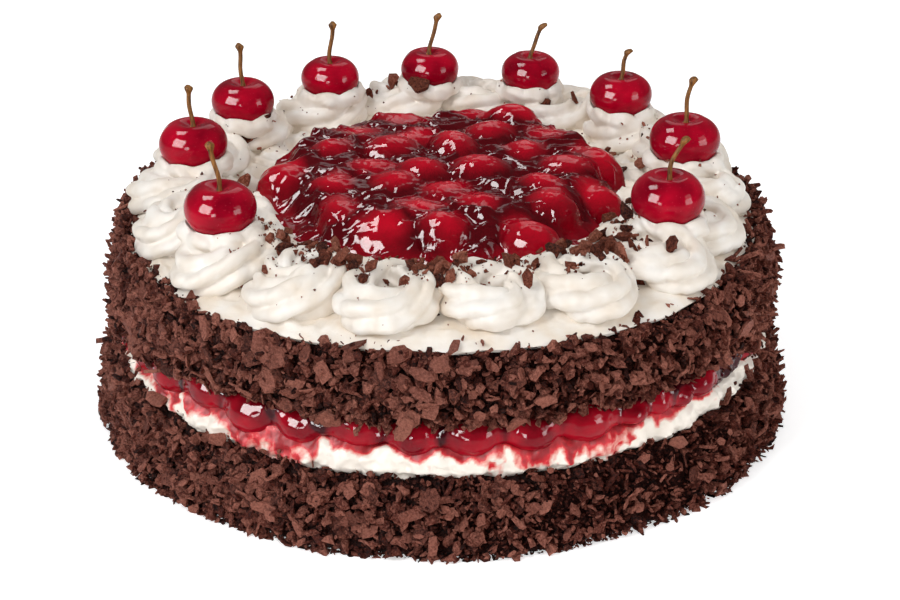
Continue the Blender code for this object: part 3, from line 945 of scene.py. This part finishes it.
class MakeTopCream(Operator):
    """The cream spread on the upper sponge"""
    bl_idname = "cake.top_cream"
    bl_label = "Top Cream"

    def execute(self, context):
        settings = context.scene.cake_top_cream
        columns = 600
        low_edge = CREAM_LOW
        profile = [(0.098, low_edge), (0.1106, low_edge + 0.1 * MM), (0.1120, low_edge + 1.6 * MM),
                   (0.1112, TOP - 3.4 * MM), (0.1078, TOP - 1.4 * MM), (0.1010, TOP - 0.3 * MM), (0.088, TOP),
                   (0.076, TOP), (0.064, TOP), (0.052, TOP), (0.02, TOP)]
        rings = profile_rings(profile, 8, columns)
        flat = rings.reshape(-1, 3)
        radius = np.hypot(flat[:, 0], flat[:, 1])
        outward = flat * (1, 1, 0) / radius[:, None]
        swell = 0.9 * MM * lumps(flat, 16 * MM, 17, 2) * smooth_step(0.1, 0.111, radius)
        swell -= 1.2 * MM * to_the_sides(flat) * smooth_step(0.104, 0.111, radius)
        flat += outward * swell[:, None]
        top_share = smooth_step(TOP - 4.5 * MM, TOP - 0.5 * MM, flat[:, 2])
        ruffled = smooth_step(0.094, 0.082, radius) * smooth_step(0.056, 0.064, radius)
        waves = 1 - 1.4 * np.abs(lumps(flat * (1, 1, 0), 10 * MM, 19, 2))
        flat[:, 2] += top_share * (0.45 * MM * lumps(flat, 13 * MM, 18, 2) - 0.25 * MM)
        skirt = smooth_step(0.096, 0.101, radius) * smooth_step(0.1115, 0.108, radius)
        flat[:, 2] += top_share * skirt * 1.5 * MM * (np.abs(lumps(flat * (1, 1, 0), 9 * MM, 23, 2)) - 0.2)
        flat[:, 2] += top_share * ruffled * (2.0 * MM + settings.ruffle * np.clip(waves, -0.4, 1))
        finish = whipped_cream("whipped_cream_spread", tuple(settings.pale), tuple(settings.shade))
        dress(wrap("spread_cream", flat.reshape(rings.shape)), finish, ["top_cream"])
        return {"FINISHED"}


class RosetteSettings(PropertyGroup):
    pale: FloatVectorProperty(name="Cream", description="Colour of the piped cream", default=srgb("#EAE5DE"),
                              size=4, min=0, max=1, subtype="COLOR")
    shade: FloatVectorProperty(name="Richer cream", description="Colour of its yellower patches",
                               default=srgb("#DCD0C1"), size=4, min=0, max=1, subtype="COLOR")
    rope: FloatProperty(name="Rope radius", description="Half the thickness of the piped rope",
                        default=6.8 * MM, min=3 * MM, max=9 * MM, unit="LENGTH")
    loop: FloatProperty(name="Loop radius", description="Half the width of the piped loop",
                        default=11.0 * MM, min=6 * MM, max=14 * MM, unit="LENGTH")
    twist: FloatProperty(name="Twist", description="How far the rope's ridges wind round it",
                         default=-6.0, min=-12, max=12, subtype="ANGLE")
    grooves: FloatProperty(name="Groove depth", description="How deep the nozzle's grooves are",
                           default=0.58, min=0, max=0.8, subtype="FACTOR")


def rope_path(number, steps, loop_size, rope):
    """Centre line and radius of a piped rosette in millimetres: one loop round its rim, then inwards
    over its own start, to a pulled-off tip. X runs along the ring of rosettes, Y away from the
    cake's middle."""
    chance = random.Random(number + 40)
    start = chance.uniform(0, TURN)
    turns = chance.uniform(1.15, 1.5)
    tip = np.array((chance.uniform(-4.0, 4.0), chance.uniform(-4.0, 3.0)))
    share = np.linspace(0, 1, steps)
    angle = start + TURN * turns * share
    inwards = smooth_step(0.55, 1.0, share)
    loop = (1 - 0.72 * inwards) * (1 + 0.10 * np.sin(2 * angle + chance.uniform(0, TURN)) * (1 - inwards))
    points = np.empty((steps, 3))
    points[:, 0] = loop_size * loop * np.cos(angle) + tip[0] * inwards
    points[:, 1] = 1.04 * loop_size * loop * np.sin(angle) + tip[1] * inwards
    points[:, 2] = 4.4 + 4.6 * share ** 1.2 + 1.4 * smooth_step(0.8, 1, share)
    points[:, 2] += 0.5 * np.sin(3 * angle + chance.uniform(0, TURN))
    radius = rope * (0.75 + 0.25 * smooth_step(0, 0.2, share)) * (1 - 0.45 * smooth_step(0.45, 0.95, share))
    ends = np.sqrt(np.clip(1 - ((np.abs(share - 0.5) - 0.46) / 0.04).clip(0, 1) ** 2, 0.02, 1))
    return points, radius * ends


def petal_path(chance, steps):
    """Centre line and radius in millimetres of a short fold of cream beside a rosette's loop."""
    start = chance.uniform(0, TURN)
    share = np.linspace(0, 1, steps)
    angle = start + chance.uniform(0.7, 1.5) * (share - 0.5)
    reach = chance.uniform(12.5, 14.5) - 3.5 * np.abs(share - 0.5)
    points = np.stack([reach * np.cos(angle), 0.92 * reach * np.sin(angle),
                       2.6 + chance.uniform(0, 2.2) + 3.0 * share], -1)
    return points, 4.6 * np.sqrt(np.clip(1 - (2 * share - 1) ** 2, 0.02, 1))


def star_rope(points, radius, lobes, depth, twist, samples):
    """Rings of a rope with rounded lobes and sharp valleys between them."""
    steps = len(points)
    rings = np.empty((steps, samples, 3))
    side = None
    angles = around(samples)
    for i in range(steps):
        along = points[min(i + 1, steps - 1)] - points[max(i - 1, 0)]
        along = along / np.linalg.norm(along)
        if side is None:
            side = np.cross(along, (0, 0, 1))
        side = side - along * side.dot(along)
        side = side / np.linalg.norm(side)
        up = np.cross(side, along)
        wave = np.abs(np.cos(lobes / 2 * (angles + twist * i / steps)))
        reach = radius[i] * (1 - depth + depth * wave ** 0.55)
        rings[i] = points[i] + reach[:, None] * (np.cos(angles)[:, None] * side + np.sin(angles)[:, None] * up)
    return rings


def press(points, place, half, gap=0.1 * MM):
    """Cream that a cherry pushed aside: what was inside it lies on its skin."""
    away = points - place
    share = np.sqrt(((away / (half + gap)) ** 2).sum(1))
    inside = share < 1
    points[inside] = place + away[inside] / np.maximum(share[inside], 0.2)[:, None]
    return points


def collar(place, half, number):
    """The lip of cream that a pressed-in cherry pushes up round itself."""
    steps = 54
    angle = np.linspace(0, TURN, steps + 1)
    chance = random.Random(number + 90)
    shift = chance.uniform(0, TURN)
    frill = np.abs(np.cos(3.5 * angle + shift))
    reach = half[0] * (0.86 + 0.05 * np.cos(2 * angle + shift))
    path = np.stack([place[0] + reach * np.cos(angle), place[1] + reach * np.sin(angle),
                     place[2] - half[2] * 0.80 + 1.1 * MM * frill + 0.5 * MM * np.cos(angle - shift)], -1)
    thick = (2.9 + 0.8 * frill) * MM
    return wrap("collar", star_rope(path / MM, thick / MM, 4, 0.3, 9.0, 36) * MM)


class MakeRosettes(Operator):
    """The ring of piped cream"""
    bl_idname = "cake.rosettes"
    bl_label = "Rosettes"

    def execute(self, context):
        settings = context.scene.cake_rosettes
        cream = whipped_cream("whipped_cream_piped", tuple(settings.pale), tuple(settings.shade))
        cherries = [(middle(name), half_size(name)) for name in CHERRIES]
        for number, node in enumerate(ROSETTES):
            points, radius = rope_path(number, 130, settings.loop / MM, settings.rope / MM)
            piped = [star_rope(points, 1.12 * radius, 5, settings.grooves, settings.twist, 90)]
            chance = random.Random(number + 300)
            for _ in range(3):
                points, radius = petal_path(chance, 40)
                piped.append(star_rope(points, radius, 3, 0.9 * settings.grooves, 0.8, 60))
            angle = math.radians(-100) + TURN * number / len(ROSETTES)
            turn = angle - math.pi / 2
            cos_turn, sin_turn = math.cos(turn), math.sin(turn)
            parts = []
            for rings in piped:
                rings[:, :, 2] = np.maximum(rings[:, :, 2], -0.6)
                flat = rings.reshape(-1, 3) * MM
                placed = np.empty_like(flat)
                placed[:, 0] = flat[:, 0] * cos_turn - flat[:, 1] * sin_turn + 0.0925 * math.cos(angle)
                placed[:, 1] = flat[:, 0] * sin_turn + flat[:, 1] * cos_turn + 0.0925 * math.sin(angle)
                placed[:, 2] = flat[:, 2] + TOP
                parts.append(wrap("rope", placed.reshape(rings.shape)))
            for other, (place, half) in enumerate(cherries):
                nearest = min(range(len(ROSETTES)), key=lambda i: np.linalg.norm(place[:2] - 0.0925 * np.array((
                    math.cos(math.radians(-100) + TURN * i / len(ROSETTES)),
                    math.sin(math.radians(-100) + TURN * i / len(ROSETTES))))))
                if nearest == number:
                    parts.append(collar(place, half, other))
            piece = join(node.replace("rosette", "piped_rosette"), parts)
            fuse(piece, (0.7) * MM, 1)
            placed = coordinates(piece.data)
            creases = np.abs(lumps(placed, 9 * MM, 20 + number)) - 0.25
            placed += normals(piece.data) * (0.8 * MM * creases + 0.25 * MM * lumps(placed, 4 * MM, 20))[:, None]
            out = np.hypot(placed[:, 0], placed[:, 1])
            placed[:, 2] -= 3.0 * MM * smooth_step(0.094, 0.112, out)
            for place, half in cherries:
                placed = press(placed, place, half)
            set_coordinates(piece.data, placed)
            dress(piece, cream, [node])
        return {"FINISHED"}


# Whole cherries


class CherrySettings(PropertyGroup):
    light: FloatVectorProperty(name="Light skin", description="Colour of the brighter skin",
                               default=srgb("#BA0828"), size=4, min=0, max=1, subtype="COLOR")
    dark: FloatVectorProperty(name="Dark skin", description="Colour of the riper skin",
                              default=srgb("#7C0018"), size=4, min=0, max=1, subtype="COLOR")
    bark: FloatVectorProperty(name="Light bark", description="Colour of the stems' paler streaks",
                              default=srgb("#A97238"), size=4, min=0, max=1, subtype="COLOR")
    bark_shade: FloatVectorProperty(name="Dark bark", description="Colour of the stems' darker streaks",
                                    default=srgb("#4A2B10"), size=4, min=0, max=1, subtype="COLOR")
    stem: FloatProperty(name="Stem radius", description="Half the thickness of a stem",
                        default=0.8 * MM, min=0.4 * MM, max=1.5 * MM, unit="LENGTH")


class MakeCherries(Operator):
    """The whole cherries and their stems"""
    bl_idname = "cake.cherries"
    bl_label = "Whole Cherries"

    def execute(self, context):
        settings = context.scene.cake_cherries
        skin = cherry_skin("cherry_skin_waxed", tuple(settings.light), tuple(settings.dark))
        bark = cherry_stem("cherry_stem_dry", tuple(settings.bark), tuple(settings.bark_shade))
        columns, rows = ((72, 44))
        for number, (node, stem) in enumerate(zip(CHERRIES, STEMS)):
            place, half = middle(node), half_size(node)
            radius = half[:2].max()
            chance = random.Random(60 + number)
            seam = chance.uniform(0, TURN)
            angle = around(columns)
            rings = np.empty((rows, columns, 3))
            bottom = low(node)
            for row in range(rows):
                slope = math.pi * (1 - (row + 0.5) / rows)
                reach = radius * math.sin(slope) ** 0.88 * (1 + 0.045 * math.cos(slope))
                groove = 1 - 0.035 * np.exp(-((np.angle(np.exp(1j * (angle - seam))) / 0.22) ** 2))
                uneven = 1 + 0.015 * np.cos(2 * (angle - seam)) + 0.012 * np.cos(3 * angle + number)
                height = CHERRY_FLATNESS * radius * math.cos(slope)
                if slope < math.pi / 2:
                    height -= 0.24 * radius * math.exp(-((reach / (0.34 * radius)) ** 2))
                rings[row, :, 0] = place[0] + reach * groove * uneven * np.cos(angle)
                rings[row, :, 1] = place[1] + reach * groove * uneven * np.sin(angle)
                rings[row, :, 2] = bottom + CHERRY_FLATNESS * radius + height
            dress(wrap(f"whole_{node}", rings), skin, [node])

            lowest, highest = (np.array(corner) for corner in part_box(stem))
            foot = np.array((place[0], place[1], bottom + (2 * CHERRY_FLATNESS - 0.27) * radius))
            knob = 1.5 * MM
            leftwards = abs(lowest[0] - place[0]) > abs(highest[0] - place[0])
            tip = np.array((lowest[0] + knob if leftwards else highest[0] - knob, highest[1] - knob,
                            highest[2]))
            share = np.linspace(0, 1, 26)
            path = foot + np.outer(share, tip - foot)
            path[:, :2] = foot[:2] + np.outer(share ** 1.9, (tip - foot)[:2])
            path[:, 0] += 0.35 * MM * np.sin(share * 7 + number)
            thick = settings.stem + 0.25 * MM * smooth_step(0.12, 0, share)
            thick = thick + 0.75 * MM * smooth_step(0.8, 0.94, share) - 0.7 * MM * smooth_step(0.955, 1, share)
            around_stem = around(14)
            bumpy = 1 + 0.12 * np.sin(3 * around_stem + number) * smooth_step(0.7, 1, share)[:, None]
            rings = np.empty((26, 14, 3))
            rings[:, :, 0] = path[:, 0, None] + thick[:, None] * bumpy * np.cos(around_stem)
            rings[:, :, 1] = path[:, 1, None] + thick[:, None] * bumpy * np.sin(around_stem)
            rings[:, :, 2] = path[:, 2, None] - 0.4 * MM * smooth_step(0.9, 1, share)[:, None] * np.cos(
                around_stem * 2)
            rings[:, :, 2] = np.minimum(rings[:, :, 2], highest[2])
            dress(wrap(f"woody_{stem}", rings), bark, [stem])
        return {"FINISHED"}


# The mound of glazed cherries


class MoundSettings(PropertyGroup):
    thin: FloatVectorProperty(name="Fruit", description="Colour of the cherries under thin glaze",
                              default=srgb("#CC0A26"), size=4, min=0, max=1, subtype="COLOR")
    # Also the colour of the painted shade down each fruit's sides and between the fruit.
    deep: FloatVectorProperty(name="Deep glaze", description="Colour where the glaze lies deep",
                              default=srgb("#52030C"), size=4, min=0, max=1, subtype="COLOR")
    level: FloatProperty(name="Glaze level", description="Height of the glaze between the fruit",
                         default=11.4 * MM, min=4 * MM, max=16 * MM, unit="LENGTH")
    tautness: FloatProperty(name="Tautness", description="How softly the glaze is drawn over the fruit",
                            default=0.95 * MM, min=0.3 * MM, max=3 * MM, unit="LENGTH")


def mound_fruit(centre, half):
    """Middle, half axes and heading of each cherry in the mound. They lie in loose rows, most of them
    lengthwise, and lower towards the outline."""
    chance = random.Random(5)
    fruit = []
    for row in range(9):
        for column in range(7):
            x = centre[0] + (23.5 * (column - 3.25 + 0.5 * (row % 2)) + chance.uniform(-5.6, 5.6)) * MM
            y = centre[1] + (15.8 * (row - 4) + chance.uniform(-4.4, 4.4)) * MM
            inset = 8.5 * MM if y < centre[1] else 5.4 * MM
            share = math.hypot((x - centre[0]) / (half[0] - 11.5 * MM), (y - centre[1]) / (half[1] - inset))
            if share > 1.08:
                continue
            if share > 0.9:
                x, y = centre[0] + (x - centre[0]) * 1.02 / share, centre[1] + (y - centre[1]) * 1.02 / share
                share = 1.0
            axes = np.array((chance.uniform(9.8, 13.2), chance.uniform(8.0, 10.0), chance.uniform(8.0, 9.6))) * MM
            fall = 7.6 - 7.0 * smooth_step(-0.05, 0.03, y - centre[1])
            crown = (17.8 - fall * share ** 2.5 + chance.uniform(-4.2, 0.4)) * MM
            fruit.append((np.array((x, y, TOP + crown - axes[2])), axes, chance.gauss(0.0, 0.55)))
    return fruit


def fullness(points, centre):
    """How much further out the mound's outline runs than an ellipse, between its four sides."""
    turned = np.arctan2(points[:, 1] - centre[1], points[:, 0] - centre[0])
    return 1 + 0.055 * np.sin(2 * turned) ** 2


def glazed_heights(points, centre, half, fruit, glaze_level, tautness):
    """Height of the glazed fruit at each place, and its depth, 0 to 1: how deep in glaze it lies, and
    painted shade that rises from each fruit's middle out to its edges. The glaze is drawn over the
    fruit like a taut skin and gathers between them."""
    share = np.hypot((points[:, 0] - centre[0]) / half[0], (points[:, 1] - centre[1]) / half[1])
    share = share / fullness(points, centre)
    behind = smooth_step(-0.04, 0.03, points[:, 1] - centre[1])
    outline = 0.96 + 0.045 * lumps(points * (1, 1, 0), 13 * MM, 26, 2)
    level = TOP + (glaze_level + 1.8 * MM * behind + 1.3 * MM * lumps(points * (0.8, 1, 0), 13 * MM, 27, 2)) * (
        1 - smooth_step(-1.0, 0.0, (share - outline) / (0.34 - 0.22 * behind))) - 2.2 * MM * smooth_step(-0.02, 0.03, share - outline)
    total = np.exp((level - TOP) / tautness)
    nearest = np.full(len(points), 9.0)
    for place, axes, turn in fruit:
        away = points[:, :2] - place[:2]
        along = (away[:, 0] * math.cos(turn) + away[:, 1] * math.sin(turn)) / axes[0]
        across = (away[:, 1] * math.cos(turn) - away[:, 0] * math.sin(turn)) / axes[1]
        out = along ** 2 + across ** 2
        nearest = np.minimum(nearest, out)
        dome = place[2] - TOP + axes[2] * np.where(out < 1, np.sqrt(np.clip(1 - out, 0, 1)), 1.6 * (1 - out))
        total += np.exp(dome / tautness)
    heights = TOP + tautness * np.log(total)
    # Painted shade: each fruit is brightest at its middle and darkens out to its edges, darkest in the glaze between
    # fruit.
    depth = np.clip(nearest / 1.25, 0, 1) ** 0.9
    rim = smooth_step(-0.22, -0.06, share - outline)
    warped = points * (0.55, 1, 0) + 2.2 * MM * lumps(points * (1, 1, 0), 9 * MM, 28)[:, None]
    folds = 1 - np.abs(lumps(warped, 7.5 * MM, 29, 2)) * 1.5
    heights += 1.6 * MM * (np.clip(folds, -0.5, 1) - 0.35) * (0.1 + 0.9 * smooth_step(0.2, 0.9, depth))
    heights += 0.16 * MM * lumps(points * (1, 1, 0), 2.8 * MM, 30, 2)
    return np.maximum(heights, TOP - 1.8 * MM), depth * (1 - 0.5 * rim)


class MakeMound(Operator):
    """The glazed cherries in the middle"""
    bl_idname = "cake.mound"
    bl_label = "Cherry Mound"

    def execute(self, context):
        settings = context.scene.cake_mound
        centre, half = middle("cherry_mound"), half_size("cherry_mound")
        fruit = mound_fruit(centre, half)
        circles, columns = ((132, 640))
        share = np.linspace(1.03, 0.004, circles)[:, None]
        angle = around(columns)
        rings = np.empty((circles, columns, 3))
        rings[:, :, 0] = centre[0] + half[0] * share * np.cos(angle)
        rings[:, :, 1] = centre[1] + half[1] * share * np.sin(angle)
        rings[:, :, 2] = TOP
        flat = rings.reshape(-1, 3)
        flat[:, :2] = centre[:2] + (flat[:, :2] - centre[:2]) * fullness(flat, centre)[:, None]
        flat[:, 2], depth = glazed_heights(flat, centre, half, fruit, settings.level, settings.tautness)
        foot = rings[:1].copy()
        foot[:, :, 2] = TOP - 2.6 * MM
        body = wrap("glazed_cherry_mound", np.concatenate([foot, rings]))
        painted = np.ones(len(body.data.vertices))
        painted[columns:columns + len(depth)] = depth
        paint(body.data, "depth", painted)
        dress(body, cherry_glaze("mound_cherry_glaze", tuple(settings.thin), tuple(settings.deep)), ["cherry_mound"])
        return {"FINISHED"}


# Loose chocolate


class LooseChocolateSettings(PropertyGroup):
    light: FloatVectorProperty(name="Scraped face", description="Colour of the palest scraped faces",
                               default=srgb("#BC7660"), size=4, min=0, max=1, subtype="COLOR")
    broken: FloatVectorProperty(name="Broken face", description="Colour of most of the broken chocolate",
                                default=srgb("#7E402E"), size=4, min=0, max=1, subtype="COLOR")
    dark: FloatVectorProperty(name="Pores", description="Colour of the pores and dark faces",
                              default=srgb("#30110A"), size=4, min=0, max=1, subtype="COLOR")
    chunk: FloatProperty(name="Largest chunk", description="Length of the largest strewn piece",
                         default=9.5 * MM, min=3 * MM, max=15 * MM, unit="LENGTH")


class MakeLooseChocolate(Operator):
    """Chocolate strewn on the cream"""
    bl_idname = "cake.loose_chocolate"
    bl_label = "Loose Chocolate"

    def execute(self, context):
        settings = context.scene.cake_loose_chocolate
        finish = shaved_chocolate("broken_couverture", tuple(settings.light), tuple(settings.broken),
                                  tuple(settings.dark), 1.0 * MM, 1.5)
        chunk = settings.chunk / MM
        cream = [obj for obj in bpy.context.scene.objects
                 if obj.name == "spread_cream" or obj.name.startswith("piped_rosette")]
        ground = join("ground", [new_object("copy", obj.data.copy()) for obj in cream])
        points, upward = coordinates(ground.data), normals(ground.data)[:, 2]
        out = np.hypot(points[:, 0], points[:, 1])
        bearing = np.degrees(np.arctan2(points[:, 1], points[:, 0]))
        front = smooth_step(78, 52, np.abs(bearing + 90))
        ring = smooth_step(0.060, 0.071, out) * smooth_step(0.102, 0.086, out)
        patches = np.clip(0.5 + 1.0 * lumps(points * (1, 1, 0), 11 * MM, 33, 2), 0, 1)
        facing = np.clip(upward * 1.4, 0, 1)
        strewn = (front + 0.07) * ring * patches * facing
        stray = 0.012 * smooth_step(0.115, 0.1, out) * smooth_step(0.056, 0.06, out) * facing
        chunks = shapes("strewn", [lambda c, i=i: broken_chip(c, 0.95 - 0.07 * i, 0.42 + 0.05 * i, 15)
                                   for i in range(6)]
                        + [lambda c, i=i: broken_plate(c, 0.6 + 0.1 * i, 0.26, 0.05, 7 + i) for i in range(4)], 71)
        bits = shapes("bits", [lambda c, i=i: broken_chip(c, 0.85 - 0.06 * i, 0.6, 8) for i in range(4)]
                      + [lambda c, i=i: broken_shard(c, 0.6, 0.4) for i in range(3)], 81)
        grains = shapes("grit", [broken_grain] * 4, 61)
        for name, kept, per_area, sizes, lifts, tilt, thick in (
            ("strewn_chunks", chunks, 0.050, (0.36 * chunk, chunk), (0.4, 2.2), 0.8, strewn),
            ("strewn_bits", bits, 0.19, (1.0, 3.6), (0.1, 1.0), 3.1, strewn + 0.3 * stray),
            ("strewn_crumbs", grains, 0.42, (0.5, 1.3), (0.0, 0.3), 3.1, strewn + stray),
        ):
            paint(ground.data, "cover", thick)
            dress(scatter(name, ground, kept, finish, per_area, sizes, lifts, tilt, 5), finish)
        bpy.data.objects.remove(ground)
        return {"FINISHED"}


# Stage


class StageSettings(PropertyGroup):
    paper: FloatVectorProperty(name="Paper", description="Colour of the floor", default=srgb("#FBFBFB"),
                               size=4, min=0, max=1, subtype="COLOR")
    key: FloatProperty(name="Key light", description="Power of the main light, in watts", default=8.2,
                       min=0, max=60)
    lens: FloatProperty(name="Lens", description="Focal length of the camera, in millimetres", default=95,
                        min=20, max=200)


class MakeStage(Operator):
    """Floor, light and camera"""
    bl_idname = "cake.stage"
    bl_label = "Stage"

    def execute(self, context):
        scene = context.scene
        settings = scene.cake_stage
        mesh = bpy.data.meshes.new("floor")
        mesh.from_pydata([(-6, -6, 0), (6, -6, 0), (6, 6, 0), (-6, 6, 0)], [], [(0, 1, 2, 3)])
        floor = new_object("studio_floor", mesh)
        mesh.materials.append(studio_floor("white_paper", tuple(settings.paper)))

        world = bpy.data.worlds.new("studio")
        world.use_nodes = True
        world.node_tree.nodes["Background"].inputs["Color"].default_value = srgb("#FFFFFF")
        world.node_tree.nodes["Background"].inputs["Strength"].default_value = 0.2
        scene.world = world

        for name, place, size, power, use in (
            ("key", (-0.75, -0.75, 1.05), 0.45, settings.key, "diffuse"),
            ("ceiling", (0, -0.1, 1.5), 1.6, 4.7, "diffuse"),
            ("front", (0.2, -1.1, 0.7), 0.9, 3.1, "diffuse"),
            ("fill", (0.95, -0.45, 0.6), 0.4, 2.5, "both"),
            ("back", (0.1, 0.95, 0.9), 0.6, 2, "both"),
            ("window", (-0.95, -0.90, 0.80), 1.0, 145, "glossy"),
            ("skylight", (-0.50, 0.15, 1.10), 0.42, 17, "glossy"),
            ("side_window", (1.25, -0.75, 0.35), 0.6, 18, "glossy"),
            ("low_window", (-0.35, -1.25, 0.28), 0.30, 9, "glossy"),
        ):
            light = bpy.data.lights.new(name, "AREA")
            light.shape = "SQUARE"
            light.size = size
            light.energy = power
            lamp = bpy.data.objects.new(name, light)
            lamp.location = place
            lamp.rotation_euler = (Vector((0, 0, 0.07)) - Vector(place)).to_track_quat("-Z", "Y").to_euler()
            lamp.visible_glossy = use != "diffuse"
            lamp.visible_diffuse = use != "glossy"
            scene.collection.objects.link(lamp)

        lens = bpy.data.cameras.new("camera")
        lens.lens = settings.lens
        lens.sensor_width = 36
        lens.clip_start = 0.01
        camera = bpy.data.objects.new("camera", lens)
        camera.location = (0, -0.7777, 0.3930)
        camera.rotation_euler = (Vector((0.0029, 0, 0.0358)) - camera.location).to_track_quat("-Z", "Y").to_euler()
        scene.collection.objects.link(camera)
        scene.camera = camera
        scene.view_settings.view_transform = "Standard"
        return {"FINISHED"}


PIECES = {
    "stage": (StageSettings, MakeStage),
    "coat": (CoatSettings, MakeCoat),
    "seam": (SeamSettings, MakeSeam),
    "top_cream": (TopCreamSettings, MakeTopCream),
    "rosettes": (RosetteSettings, MakeRosettes),
    "cherries": (CherrySettings, MakeCherries),
    "mound": (MoundSettings, MakeMound),
    "loose_chocolate": (LooseChocolateSettings, MakeLooseChocolate),
}


class CakePanel(Panel):
    """The cake's pieces in the sidebar"""
    bl_idname = "VIEW3D_PT_cake"
    bl_label = "Black Forest Cake"
    bl_space_type = "VIEW_3D"
    bl_region_type = "UI"
    bl_category = "Cake"

    def draw(self, context):
        for name, (settings, operator) in PIECES.items():
            box = self.layout.box()
            held = getattr(context.scene, f"cake_{name}")
            for shown in settings.__annotations__:
                box.prop(held, shown)
            box.operator(operator.bl_idname)


def register():
    for name, (settings, operator) in PIECES.items():
        bpy.utils.register_class(settings)
        bpy.utils.register_class(operator)
        setattr(bpy.types.Scene, f"cake_{name}", PointerProperty(type=settings))
    bpy.utils.register_class(CakePanel)


def unregister():
    bpy.utils.unregister_class(CakePanel)
    for name, (settings, operator) in reversed(PIECES.items()):
        delattr(bpy.types.Scene, f"cake_{name}")
        bpy.utils.unregister_class(operator)
        bpy.utils.unregister_class(settings)


def main():
    register()
    bpy.ops.cake.stage()
    bpy.ops.cake.coat()
    bpy.ops.cake.seam()
    bpy.ops.cake.top_cream()
    bpy.ops.cake.rosettes()
    bpy.ops.cake.cherries()
    bpy.ops.cake.mound()
    bpy.ops.cake.loose_chocolate()


if __name__ == "__main__":
    main()
